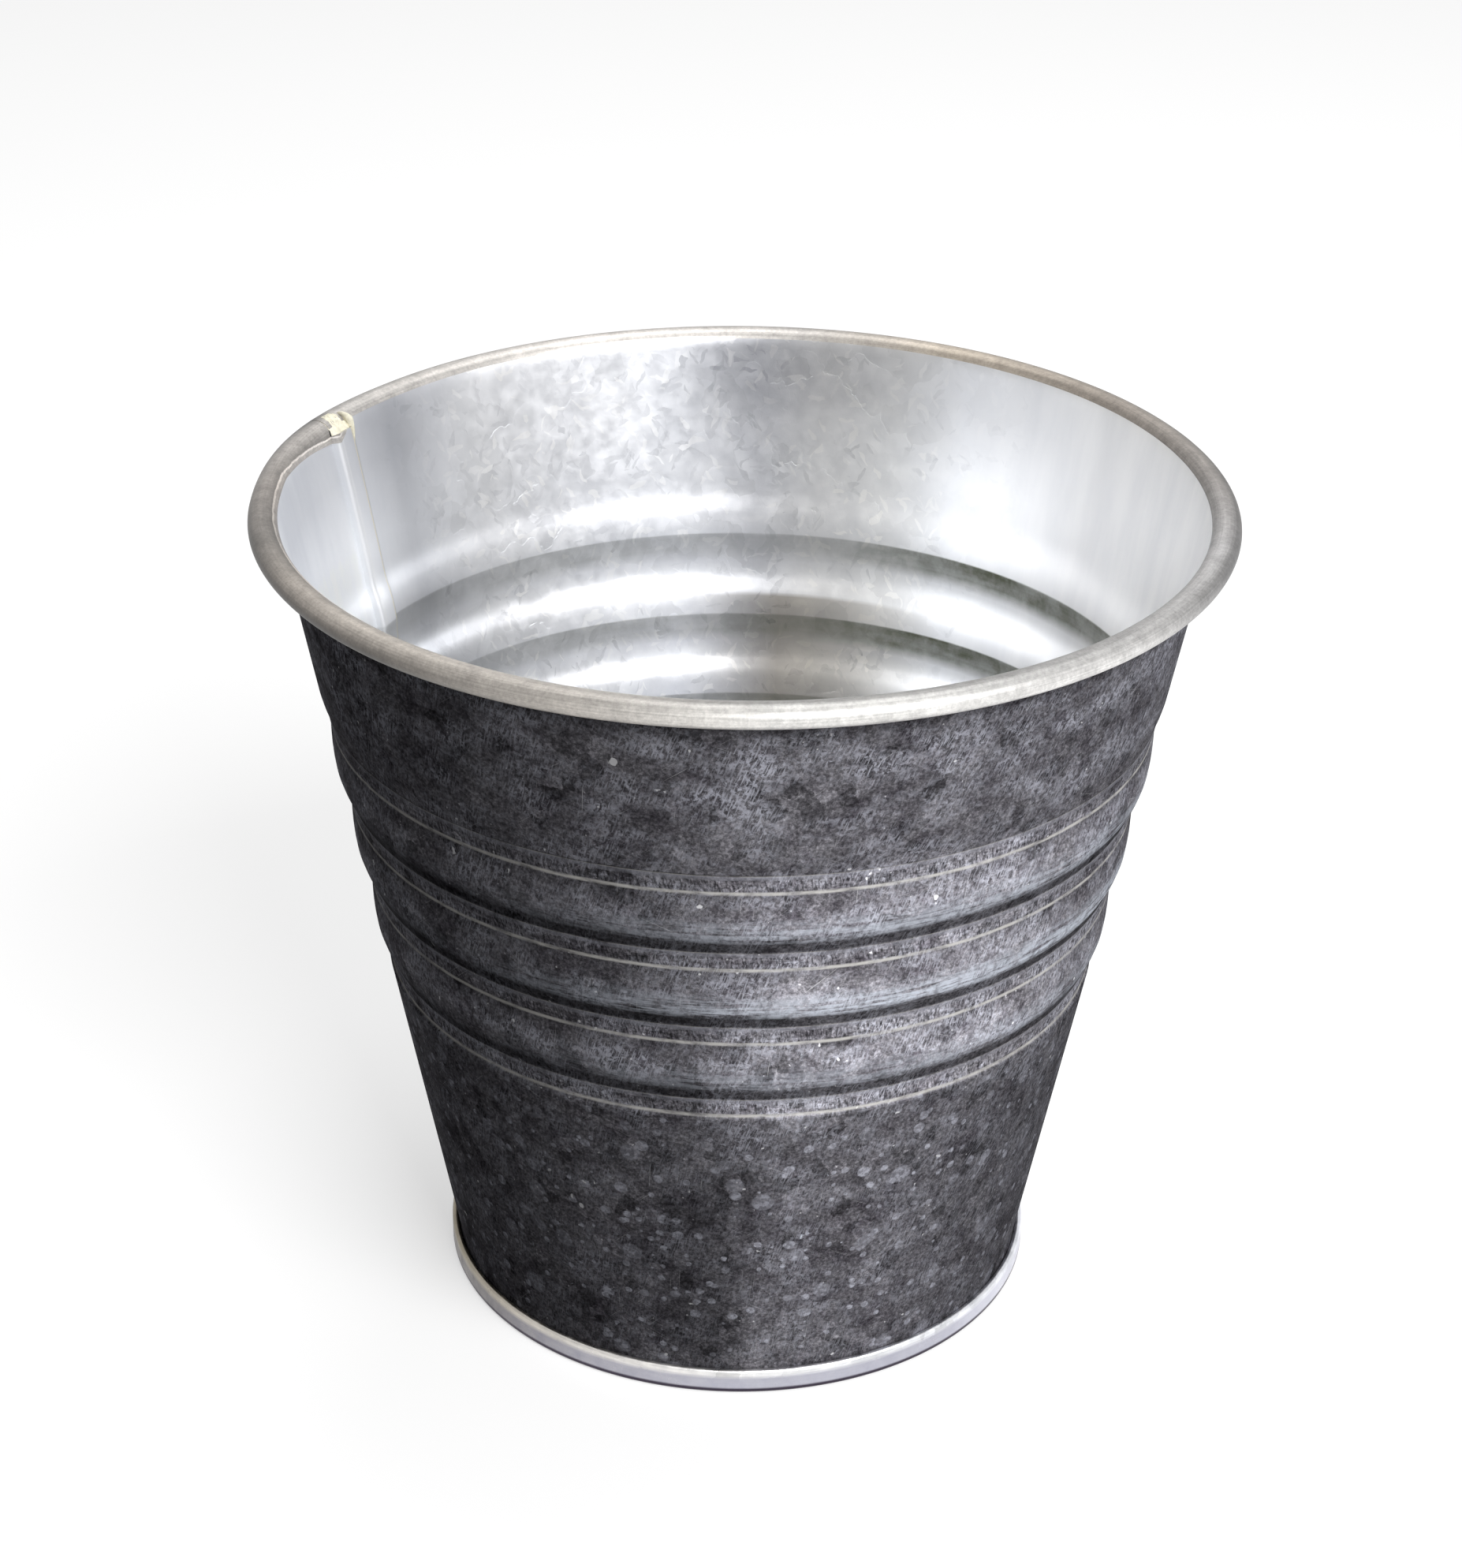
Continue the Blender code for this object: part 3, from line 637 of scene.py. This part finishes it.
def bright_zinc():
    """Clean zinc with its crystals showing, painted reflections, grime and painted shadow under each band,
    and a curled rim painted with light and shade.
    """
    paint = Finish("bright zinc")
    ramp, mix, product = paint.ramp, paint.mix, paint.product
    paint.follow_bands()
    place, sheet, turn, part = paint.place, paint.sheet, paint.turn, paint.part

    # Clouded and mottled zinc: smooth on the left and the right, crystals and shards in front and behind.
    crystal = paint.pick(paint.cells(paint.shaken(sheet, 0.003, 0.003), INSIDE_CRYSTAL))
    clouds = paint.blots(paint.noise(place, 0.016, 4, 0.6), 0.34, 0.66)
    mottle = paint.blots(paint.noise(place, 0.003, 5, 0.62), 0.34, 0.66)
    tone = mix(paint.scaled(clouds, 0.55, product(mottle, 0.45)), GREY_ZINC, PALE_ZINC)
    tone = paint.times(tone, ramp(crystal, (0, 0.9), (0.4, 0.99), (1, 1.03)))
    veils = paint.blots(paint.streaks(0.006, 0.03, 4), 0.34, 0.66)
    smooth = mix(veils, (0.9, 0.91, 0.925), (0.985, 0.99, 0.995))
    plain = ramp(
        turn, (0, 0), (0.08, 1), (0.44, 1), (0.5, 0), (0.62, 0), (0.7, 1), (0.86, 1), (0.92, 0.05), (1, 0),
    )
    tone = mix(plain, smooth, tone)
    clusters = ramp(paint.noise(place, 0.01, 3), (0.42, 0.1), (0.58, 1))
    shaken = paint.shaken(sheet, 0.003, 0.002)
    for lean, width, length in SHARDS:
        shard = paint.pick(paint.cells(paint.stretched(shaken, (width, length, 1.0), lean), 1.0))
        dark = product(ramp(shard, (0.945, 0), (0.965, 0.45)), plain, mottle, clusters)
        tone = mix(dark, tone, SHARD)
        tone = mix(product(ramp(shard, (0.02, 0.8), (0.038, 0)), plain), tone, GLINT)

    # Painted reflections and shade round the wall, set by the turn; a painted shadow under the rim at the
    # back and on the left; and the wall darker and browner at the back from the second band down.
    clear = (1.02, 1.035, 1.06)
    painted_reflection_and_shade = ramp(
        turn, (0, clear), (0.08, (0.94, 0.95, 0.96)), (0.45, (0.94, 0.93, 0.91)),
        (0.56, (0.91, 0.895, 0.865)), (0.59, (0.8, 0.79, 0.77)), (0.625, (0.86, 0.855, 0.85)),
        (0.66, (0.93, 0.93, 0.93)), (0.69, (0.9, 0.89, 0.86)), (0.72, (0.72, 0.71, 0.69)),
        (0.745, (0.61, 0.61, 0.62)), (0.78, (0.9, 0.905, 0.92)), (0.86, (1, 1, 1.01)),
        (0.905, (0.62, 0.63, 0.66)), (0.927, (0.86, 0.87, 0.9)), (0.94, (1, 1.01, 1.03)), (1, clear),
    )
    upper = paint.blots(paint.maths("DIVIDE", paint.level, HEIGHT), 0.84, 0.93)
    shaded = ramp(
        turn, (0, 0.8), (0.08, 0), (0.6, 0), (0.63, 0.5), (0.69, 1), (0.755, 1), (0.79, 0), (0.87, 0),
        (0.9, 0.8),
    )
    painted_reflection_and_shade = mix(product(upper, shaded), painted_reflection_and_shade, paint.times(painted_reflection_and_shade, (0.72, 0.72, 0.73)))
    lower = product(paint.blots(paint.cycle, 0.95, 1.0), paint.banded)
    brownish = ramp(turn, (0.655, 0), (0.685, 0.35), (0.7, 0.6), (0.735, 1), (0.765, 0.2), (0.78, 0))
    painted_reflection_and_shade = mix(product(lower, brownish), painted_reflection_and_shade, paint.times(painted_reflection_and_shade, (0.54, 0.505, 0.45)))

    # Grime and a painted shadow just under each band, thinning out below it, heaviest on the right.
    grime_and_shadow = ramp(part, (BAND_SHARE - 0.008, 0), (BAND_SHARE + 0.01, 1), (0.43, 0.95), (0.5, 0.5), (0.58, 0))
    patchy = ramp(paint.streaks(0.022, 0.002, 4), (0.28, 0.75), (0.6, 1))
    first = ramp(
        turn, (0, 0.2), (0.2, 0.6), (0.55, 0.7), (0.64, 0.92), (0.66, 0.84), (0.68, 0.7), (0.71, 0.32),
        (0.74, 0.24), (0.78, 0.3), (0.83, 0.34), (0.87, 0.24), (0.92, 0.2),
    )
    deeper = ramp(
        turn, (0, 0.2), (0.2, 0.6), (0.55, 0.7), (0.64, 0.95), (0.68, 0.95), (0.73, 0.36), (0.78, 0.38),
        (0.83, 0.4), (0.87, 0.24), (0.92, 0.2),
    )
    soiled_and_shaded = product(mix(lower, first, deeper), ramp(mottle, (0.15, 1.12), (0.85, 0.84)))
    tone = mix(product(grime_and_shadow, patchy, soiled_and_shaded, paint.banded), paint.times(tone, painted_reflection_and_shade), GRIME_AND_SHADOW)

    # Beside the seam: a painted shadow with dirt in it on one side, a yellow line along the compound, and two
    # painted highlights along the bends on the other.
    girth = paint.scaled(paint.height, math.tau * CONE_SLOPE, math.tau * cone_radius(0.0))
    beside = product(paint.maths("SUBTRACT", turn, SEAM_TURN), girth)
    near = paint.scaled(beside, 1.0 / SEAM_SIDE, 0.5)
    shade = ramp(near, (0.15, 0), (0.21, 0.45), (0.26, 0.9), (0.322, 1), (0.332, 0))
    yellowed = ramp(near, (0.33, 0), (0.337, 1), (0.352, 1), (0.362, 0))
    gleam = ramp(near, (0.6, 0), (0.63, 0.5), (0.66, 0.1), (0.74, 0.5), (0.8, 0))
    dulled = ramp(paint.maths("DIVIDE", paint.height, HEIGHT), (0.55, 0.25), (0.8, 1))
    tone = mix(product(shade, dulled, patchy, 0.85), tone, SEAM_SHADE)
    tone = mix(product(yellowed, dulled, patchy), tone, SEAM_STAIN)
    tone = mix(product(gleam, 0.5), tone, SEAM_GLEAM)

    # The rim, from the curl's inner foot (0) over its top to its outer edge (1): brushed and spotted, darker
    # on the left and right.  Across the curl it is painted with light and shade: on the left, which is also
    # tarnished, a painted highlight near the inner foot and painted shade to the outer edge; in front, which
    # is also polished, a painted highlight growing to the outer edge; elsewhere painted shade to the outer
    # edge.
    flat = ramp(turn, (SEAM_TURN - 0.002, 0), (SEAM_TURN + 0.002, 1), (0.955, 0.55), (0.985, 0))
    level = paint.scaled(flat, FLAT_RIM, paint.level)
    across = paint.maths("DIVIDE", paint.maths("SUBTRACT", level, CURL_LEVEL), CURL_REACH)
    brushed = paint.streaks(0.02, 0.0002)
    wear = paint.noise(place, 0.0024, 4, 0.6)
    grain = paint.noise(place, 0.0005, 4, 0.7)
    corner = (0.29, 0.265, 0.245)
    rim_tone = ramp(
        turn, (0, corner), (0.042, (0.2, 0.185, 0.17)), (0.083, (0.37, 0.335, 0.3)),
        (0.14, (0.48, 0.44, 0.395)), (0.2, (0.54, 0.505, 0.465)), (0.26, (0.58, 0.57, 0.55)),
        (0.38, (0.57, 0.56, 0.55)), (0.46, (0.44, 0.43, 0.43)), (0.52, (0.28, 0.26, 0.245)),
        (0.6, (0.3, 0.265, 0.23)), (0.67, (0.44, 0.385, 0.32)), (0.73, (0.42, 0.4, 0.38)),
        (0.8, (0.56, 0.53, 0.5)), (0.92, (0.46, 0.44, 0.42)), (1, corner),
    )
    rim_tone = paint.times(
        rim_tone, ramp(brushed, (0.3, 0.84), (0.7, 1.12)), ramp(wear, (0.3, 0.84), (0.62, 1.08)),
        ramp(grain, (0.34, 0.84), (0.66, 1.14)),
    )
    wander = paint.scaled(wear, 0.07, paint.maths("SUBTRACT", across, 0.035))
    tarnish_and_shading = ramp(
        wander, (0, 1.2), (0.105, 1.2), (0.125, 2.1), (0.15, 2.1), (0.17, 0.62), (0.28, 0.82), (0.45, 1.05),
        (0.6, 0.95), (0.72, 0.72), (0.82, 0.4), (0.92, 0.2), (1, 0.1),
    )
    dull_and_shaded = ramp(
        across, (0, 1.05), (0.08, 0.85), (0.2, 0.92), (0.34, 1.03), (0.46, 0.84), (0.54, 0.66), (0.62, 0.42),
        (0.9, 0.35),
    )
    polish_and_highlight = ramp(
        across, (0, 0.7), (0.11, 0.62), (0.34, 0.56), (0.46, 0.48), (0.57, 0.66), (0.69, 0.8), (0.8, 1.1),
        (0.95, 1.3),
    )
    left = ramp(turn, (0.1, 1), (0.22, 0), (0.93, 0), (0.94, 1))
    front = ramp(turn, (0.13, 0), (0.24, 1), (0.38, 1), (0.45, 0))
    rim_tone = paint.times(rim_tone, mix(front, mix(left, dull_and_shaded, tarnish_and_shading), polish_and_highlight))

    on_rim = paint.maths("GREATER_THAN", across, 0.0)
    etched = mix(plain, (0.42, 0.42, 0.42), paint.scaled(mottle, 0.12, 0.3))
    roughness = mix(on_rim, etched, paint.scaled(brushed, 0.2, 0.34))
    relief = product(mix(0.5, mottle, crystal), plain)
    relief = mix(on_rim, relief, mix(0.5, brushed, grain))
    metallic = mix(on_rim, (1.0, 1.0, 1.0), (RIM_METAL, RIM_METAL, RIM_METAL))
    return paint.finish(mix(on_rim, tone, rim_tone), roughness, metallic, relief, INSIDE_RELIEF)


wall = build_wall()
thicken(wall, weathered_zinc(), bright_zinc())
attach(wall, "root")
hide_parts("body_sheet")

# The base.  A pan pressed from the same sheet: its floor stands clear of the ground, and its hem is wrapped
# round the wall's turned foot and rolled tight in a double seam.  It kept the bright zinc of the inside.

BASE_BEND = 0.0005
FLOOR_BEND = 0.0011
FLOOR_PANEL_RADIUS = 0.0300
FLOOR_PANEL_RISE = 0.0008
FLOOR_PANEL_SLOPE = 0.0016
CENTRE_RADIUS = 0.002
PANEL_RINGS = 12
SLOPE_STEPS = 6
HEM_STEPS = 10
RING_COLUMNS = 288


def pan_profile():
    """The pan's middle line from near the floor's centre out to its hidden hook, as (radius, height) rows: a
    flat panel, a smooth step down, then bends that turn it down, out, up, and over the wall's foot."""
    panel_top = FLOOR_HEIGHT + FLOOR_PANEL_RISE
    chuck = FOOT_MIDDLE - PITCH
    skirt = FOOT_MIDDLE + 3 * PITCH
    bend_height = SHEET / 2 + BASE_BEND
    hem_height = BASE_SEAM_HEIGHT - SHEET / 2 - PITCH
    slope_start = FLOOR_PANEL_RADIUS - FLOOR_PANEL_SLOPE
    panel = np.linspace(CENTRE_RADIUS, slope_start, PANEL_RINGS)
    share = np.linspace(0.0, 1.0, SLOPE_STEPS + 1)[1:]
    slope = (slope_start + FLOOR_PANEL_SLOPE * share, panel_top - FLOOR_PANEL_RISE * eased(share))
    bends = [
        arc((chuck - FLOOR_BEND, FLOOR_HEIGHT - FLOOR_BEND), FLOOR_BEND, math.pi / 2, 0.0, BEND_STEPS),
        arc((chuck + BASE_BEND, bend_height), BASE_BEND, math.pi, 3 * math.pi / 2, SMALL_BEND_STEPS),
        arc((skirt - BASE_BEND, bend_height), BASE_BEND, -math.pi / 2, 0.0, SMALL_BEND_STEPS),
        arc((skirt - PITCH, hem_height), PITCH, 0.0, math.pi, HEM_STEPS),
    ]
    hook_end = (skirt - 2 * PITCH, 2 * PITCH + SHEET / 2 + HOOK_CLEARANCE)
    panel = np.stack([panel, np.full(PANEL_RINGS, panel_top)], axis=1)
    return np.vstack([panel, np.stack(slope, axis=1), *bends, [hook_end]])


def ring_places(radius, height):
    """Places of rows set round the axis at even angles; radius and height have one row per ring, and may have
    a column for every angle."""
    angle = np.linspace(0.0, math.tau, RING_COLUMNS, endpoint=False)
    return np.stack(np.broadcast_arrays(radius * np.cos(angle), radius * np.sin(angle), height), axis=-1)


# A painted contact shadow for the ring's foot, and a painted shade for its skirt.
CONTACT_SHADOW = (0.055, 0.045, 0.065)
SKIRT_SHADE = (0.46, 0.46, 0.53)
PAN_RELIEF = 0.00003


def pan_zinc():
    """Zinc dulled by standing water inside; the seamed ring is brushed, painted with light and shade, and has
    a painted contact shadow low down.
    """
    paint = Finish("pan zinc")
    ramp, mix, product = paint.ramp, paint.mix, paint.product
    place, turn = paint.place, paint.turn
    crystal = paint.pick(paint.cells(paint.shaken(place, 0.0029, 0.004), 0.0033))
    mottle = paint.blots(paint.noise(place, 0.0022, 6, 0.65), 0.32, 0.68)
    glitter = ramp(crystal, (0, 0.8), (0.3, 0.96), (1, 1.08))
    tone = paint.times(mix(mottle, GREY_ZINC, PALE_ZINC), glitter)

    # The seamed ring outside: brushed round, brownish and darker on the left and back, partly stain and
    # partly painted shade, and brightest in front.
    brownish = (0.34, 0.3, 0.23)
    tint = ramp(
        turn, (0, brownish), (0.05, brownish), (0.1, (0.52, 0.47, 0.39)), (0.17, (0.84, 0.8, 0.74)),
        (0.25, (1, 0.98, 0.95)), (0.32, (1, 1, 1)), (0.5, (0.95, 0.96, 1)), (0.75, (0.8, 0.78, 0.74)),
        (1, brownish),
    )
    rubbed = paint.noise(paint.stretched(place, (0.004, 0.004, 0.00025)), 1.0)
    brushed = paint.times(tone, tint, ramp(rubbed, (0.3, 0.86), (0.62, 1.06)))
    dried = ramp(
        paint.noise(place, 0.019, 4, 0.6), (0.36, (0.3, 0.29, 0.27)), (0.5, (0.42, 0.42, 0.41)),
        (0.64, (0.5, 0.51, 0.53)),
    )
    away = paint.add("VectorMath", place, operation="LENGTH").outputs[1]
    outside = paint.maths("GREATER_THAN", away, FOOT_MIDDLE + PITCH)
    tone = mix(outside, paint.times(tone, dried), brushed)

    # The ring's rolled-in skirt is painted darker as shade below its bright shoulder, with painted shade on
    # the left and a painted highlight towards the right, and a painted contact shadow along its foot.
    rise = paint.maths("DIVIDE", paint.height, BASE_SEAM_HEIGHT)
    shadow = (0.36, 0.33, 0.29)
    side_light_and_shade = ramp(
        turn, (0, shadow), (0.05, shadow), (0.1, (0.46, 0.44, 0.41)), (0.17, (0.78, 0.77, 0.77)),
        (0.24, (1, 1, 1)), (0.36, (1.05, 1.05, 1.05)), (0.43, (1.5, 1.5, 1.45)), (0.52, (1.1, 1.1, 1.08)),
        (0.75, (0.8, 0.8, 0.78)), (1, shadow),
    )
    speckle = ramp(mottle, (0, 0.8), (1, 1))
    skirt = product(ramp(rise, (0.64, 1), (0.82, 0)), outside, speckle)
    tone = mix(skirt, tone, paint.times(side_light_and_shade, SKIRT_SHADE))
    contact_shadow = product(ramp(rise, (0.19, 1), (0.27, 0)), outside)
    tone = mix(contact_shadow, tone, CONTACT_SHADOW)
    roughness = mix(outside, (0.46, 0.46, 0.46), paint.scaled(mottle, 0.2, 0.24))
    return paint.finish(tone, roughness, 1.0, mix(0.5, mottle, rubbed), PAN_RELIEF)


profile = pan_profile()
pan_places = ring_places(profile[:, None, 0], profile[:, None, 1])
pan_faces = grid_faces(np.ones_like(pan_places[1:, :, 0], bool), wraps=True)
pan = add_piece("base_sheet", pan_places.reshape(-1, 3), pan_faces, np.arange(RING_COLUMNS)[None])
zinc = pan_zinc()
thicken(pan, zinc, zinc)
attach(pan, "root")
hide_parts("base_pan")

# The side seam's compound.  Cream putty is run by hand into the corner beside the seam, and smeared over the
# seam's end under the rim, where it hangs as a drop.

BEAD_WIDTH = 0.0004
BEAD_HEIGHT = 0.00055
BEAD_SINK = 0.00008
BEAD_TAPER = 0.0009
BEAD_STEPS = 10
BEAD_ROWS_ABOVE = 8
DROP_LENGTH = 0.0062
DROP_SWELL = 0.00075
SMEAR_HALF_WIDTH = 0.0015
SMEAR_DEPTH = 0.00022
SMEAR_SINK = 0.0001
SMEAR_COLUMNS = 61
SMEAR_ROWS = (-3, 11)
# The length, height and phase of the waves along the bead's two sides.
WIDTH_WAVES = ((0.0047, 0.00008, 0.3), (0.0113, 0.00010, 1.9), (0.0021, 0.00004, 4.0))
HEIGHT_WAVES = ((0.0059, 0.00006, 2.1), (0.0149, 0.00010, 0.4), (0.0026, 0.00004, 1.2))


def wavy(values, *waves):
    """A sum of sines: each wave is its length, its height and its phase."""
    return sum(height * np.sin(math.tau * values / length + phase) for length, height, phase in waves)


def side_bead(profile, normals, low_notch, high_notch):
    """Rings of places up the corner beside the seam: a quarter oval whose width and height wander up the wall
    and swell to the drop, and which dies away to a point at both ends."""
    rows = np.arange(low_notch + 1, high_notch + BEAD_ROWS_ABOVE)
    run = profile[rows, 1]
    swell = DROP_SWELL * eased(1.6 - 1.6 * (HEIGHT - run) / DROP_LENGTH)
    ends = np.sqrt(np.clip(np.minimum(run - run[0], run[-1] - run) / BEAD_TAPER, 0.0, 1.0))
    width = (BEAD_WIDTH + swell + wavy(run, *WIDTH_WAVES)) * ends
    tall = (BEAD_HEIGHT + swell + wavy(run, *HEIGHT_WAVES)) * ends
    angle = np.linspace(0.0, math.pi / 2, BEAD_STEPS + 1)
    corner = (BEAD_SINK - SEAM_HALF_WIDTH - PITCH - SHEET / 2, SHEET / 2 - BEAD_SINK)
    middle = np.zeros((len(rows), 1))
    along = corner[0] - np.hstack([middle, width[:, None] * np.sin(angle)])
    layer = corner[1] + np.hstack([middle, tall[:, None] * np.cos(angle)])
    return round_wall(profile[rows], normals[rows], along, layer)


def smear(profile, normals, high_notch):
    """A ragged film over the seam's end and the curl: its depth is a dome along and across it plus waves, and
    its edge is where that sinks into the metal.  It steps down from the seam's face to the curl's, keeps to
    the drop's side on the seam, and a fillet of it closes the seam's open end."""
    rows = high_notch + np.arange(*SMEAR_ROWS)
    run = np.concatenate([[0.0], np.cumsum(np.linalg.norm(np.diff(profile[rows], axis=0), axis=1))])
    share = (run / run[-1] * 2.0 - 1.0)[:, None]
    along = np.linspace(-STEP_FOOT, STEP_FOOT, SMEAR_COLUMNS)[None, :]
    across = np.clip(along / SMEAR_HALF_WIDTH, -1.0, 1.0)
    dome = (1.0 - share ** 6) * (1.0 - across ** 4)
    waves = wavy(across + 0.3 * share, (0.37, 0.28, 0.4), (0.23, 0.22, 2.0), (0.71, 0.2, 1.1))
    waves = waves + wavy(share - 0.5 * across, (0.61, 0.25, 0.9), (0.29, 0.18, 2.7))
    past = rows[:, None] - high_notch
    below = eased((1.5 - past) / 3.0)
    aside = eased((across + 0.25) / 0.5)
    depth = SMEAR_DEPTH * (1.5 * dome - 0.88 + 1.6 * waves * dome - 1.6 * below * aside)
    fillet = SMEAR_DEPTH * (1.5 * np.exp(-((past - 0.5) / 1.2) ** 2) - 0.6)
    steps = [SEAM_HALF_WIDTH + STEP_CLEARANCE, STEP_FOOT - SHEET, STEP_FOOT]
    ridge = np.interp(np.abs(along), steps, [3 * PITCH, PITCH, 0.0])
    layer = SHEET / 2 + ridge * below + np.maximum(np.maximum(depth, fillet), -SMEAR_SINK)
    return round_wall(profile[rows], normals[rows], along, layer)


CREAM = (0.84, 0.80, 0.66)
AGED_CREAM = (0.60, 0.56, 0.40)
COMPOUND_RELIEF = 0.00012


def sealing_compound():
    """Cream putty, chalky where it is thick, greyed by dust in its hollows and yellowed lower down."""
    paint = Finish("sealing compound")
    grain = paint.blots(paint.noise(paint.place, 0.0008, 5, 0.6), 0.3, 0.68)
    tint = paint.blots(paint.noise(paint.place, 0.005, 4, 0.6), 0.36, 0.6)
    rise = paint.maths("DIVIDE", paint.height, HEIGHT)
    high = paint.ramp(rise, (0.3, 0.15), (0.7, 0.5), (0.93, 0.9), (1, 1))
    share = paint.product(high, paint.scaled(tint, 0.3, 0.7))
    tone = paint.times(paint.mix(share, AGED_CREAM, CREAM), paint.ramp(grain, (0, 0.72), (1, 1.05)))
    return paint.finish(tone, paint.scaled(grain, 0.2, 0.45), 0.0, grain, COMPOUND_RELIEF)


compound = sealing_compound()
profile, low_notch, high_notch = wall_profile()
normals = profile_normals(profile)
bead = side_bead(profile, normals, low_notch, high_notch)
bead_faces = grid_faces(np.ones_like(bead[1:, :, 0], bool), wraps=True)
film = smear(profile, normals, high_notch)
film_faces = grid_faces(np.ones_like(film[1:, 1:, 0], bool)) + bead[..., 0].size
side_places = np.vstack([bead.reshape(-1, 3), film.reshape(-1, 3)])
side_sealant = add_piece("side_compound", side_places, bead_faces[:, ::-1], film_faces)
side_sealant.data.shade_smooth()
side_sealant.data.materials.append(compound)
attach(side_sealant, "root")
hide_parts("side_seam_sealant")

# The base's compound.  The same putty is run as a ring into the groove between floor and wall, and keeps the
# double seam from leaking.

BASE_BEAD_WIDTH = 0.0010
BASE_BEAD_SINK = 0.0001
BASE_BEAD_STEPS = 8


def base_bead():
    """Rings of places round the groove: a quarter oval whose width wanders, closed at the corner of floor and
    wall, and leaning out with the cone."""
    turn = np.linspace(0.0, math.tau, RING_COLUMNS, endpoint=False)[None, :]
    section = np.linspace(0.0, math.pi / 2, BASE_BEAD_STEPS + 1)[:, None]
    waves = 0.16 * np.sin(9 * turn + 0.5) + 0.12 * np.sin(23 * turn + 2.0) + 0.08 * np.sin(41 * turn)
    side = FOOT_MIDDLE - SHEET / 2 + BASE_BEAD_SINK
    bottom = BASE_BEAD_BOTTOM - 2 * BASE_BEAD_SINK
    radius = side - BASE_BEAD_WIDTH * (1.0 + waves) * np.sin(section)
    radius = np.vstack([radius, np.full((1, RING_COLUMNS), side)])
    height = np.vstack([bottom + BASE_BEAD_HEIGHT * np.cos(section), [[bottom]]])
    return ring_places(radius + CONE_SLOPE * (height - BASE_BEAD_BOTTOM), height)


ring = base_bead()
ring_faces = grid_faces(np.ones_like(ring[..., 0], bool), wraps=True) % ring[..., 0].size
base_sealant = add_piece("base_compound", ring.reshape(-1, 3), ring_faces[:, ::-1])
base_sealant.data.shade_smooth()
base_sealant.data.materials.append(compound)
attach(base_sealant, "root")
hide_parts("base_seam_sealant")

# The studio.  A pale floor, an even pale room and soft lamps.

FLOOR_SIZE = 4.0
FLOOR_COLOUR = (0.50, 0.50, 0.50, 1.0)
FLOOR_GLOW = 0.55
ROOM_GLOW = 0.30
WHITE = 1.0


def glow_strength(tree, unseen, seen):
    """A strength that is `seen` for rays from the eye, a shiny surface or through glass, and `unseen` for the
    light that falls on things."""
    path = tree.nodes.new("ShaderNodeLightPath")
    found = path.outputs["Is Camera Ray"]
    for name in ("Is Glossy Ray", "Is Transmission Ray"):
        either = tree.nodes.new("ShaderNodeMath")
        either.operation = "MAXIMUM"
        tree.links.new(found, either.inputs[0])
        tree.links.new(path.outputs[name], either.inputs[1])
        found = either.outputs[0]
    level = tree.nodes.new("ShaderNodeMapRange")
    level.inputs["To Min"].default_value = unseen
    level.inputs["To Max"].default_value = seen
    tree.links.new(found, level.inputs["Value"])
    return level.outputs[0]


corners = np.array([(-1, -1, 0), (1, -1, 0), (1, 1, 0), (-1, 1, 0)])
floor = add_piece("floor", corners * FLOOR_SIZE / 2, np.arange(4)[None])
floor_material = bpy.data.materials.new("floor")
floor_material.use_nodes = True
tree = floor_material.node_tree
tree.nodes.clear()
diffuse = tree.nodes.new("ShaderNodeBsdfDiffuse")
diffuse.inputs["Color"].default_value = FLOOR_COLOUR
glow = tree.nodes.new("ShaderNodeEmission")
tree.links.new(glow_strength(tree, 0.0, FLOOR_GLOW), glow.inputs["Strength"])
both = tree.nodes.new("ShaderNodeAddShader")
tree.links.new(diffuse.outputs[0], both.inputs[0])
tree.links.new(glow.outputs[0], both.inputs[1])
output = tree.nodes.new("ShaderNodeOutputMaterial")
tree.links.new(both.outputs[0], output.inputs["Surface"])
floor.data.materials.append(floor_material)

world = scene.world = bpy.data.worlds.new("studio")
world.use_nodes = True
tree = world.node_tree
tree.nodes.clear()
background = tree.nodes.new("ShaderNodeBackground")
tree.links.new(glow_strength(tree, ROOM_GLOW, WHITE), background.inputs["Strength"])
output = tree.nodes.new("ShaderNodeOutputWorld")
tree.links.new(background.outputs[0], output.inputs["Surface"])


def softbox(name, place, aim, size, power):
    """A square area lamp at a place, turned towards a point."""
    data = bpy.data.lights.new(name, "AREA")
    data.size, data.energy = size, power
    lamp = bpy.data.objects.new(name, data)
    lamp.location = place
    lamp.rotation_euler = (Vector(aim) - Vector(place)).to_track_quat("-Z", "Y").to_euler()
    scene.collection.objects.link(lamp)


softbox("key", place=(0.45, -0.75, 0.80), aim=(0.0, 0.0, 0.06), size=0.7, power=15.0)
softbox("top", place=(0.10, 0.35, 1.10), aim=(0.0, 0.0, 0.08), size=0.6, power=6.0)

CAMERA_CENTRE = Vector((0.0, 0.0, 0.12225))
CAMERA_DISTANCE = 0.5055
CAMERA_LIFT = math.radians(22.80)
CAMERA_PITCH = math.radians(27.329)
CAMERA_YAW = math.radians(0.194)
CAMERA_ROLL = math.radians(0.549)
CAMERA_LENS = 81.71
camera = bpy.data.objects.new("camera", bpy.data.cameras.new("camera"))
camera.data.lens = CAMERA_LENS
away = Vector((0.0, -math.cos(CAMERA_LIFT), math.sin(CAMERA_LIFT))) * CAMERA_DISTANCE
turned = Matrix.Rotation(CAMERA_YAW, 4, "Z") @ Matrix.Rotation(math.pi / 2 - CAMERA_PITCH, 4, "X")
turned @= Matrix.Rotation(CAMERA_ROLL, 4, "Z")
camera.matrix_world = Matrix.Translation(CAMERA_CENTRE + away) @ turned
scene.collection.objects.link(camera)
bpy.context.scene.camera = camera
bpy.context.scene.view_settings.view_transform = "Standard"
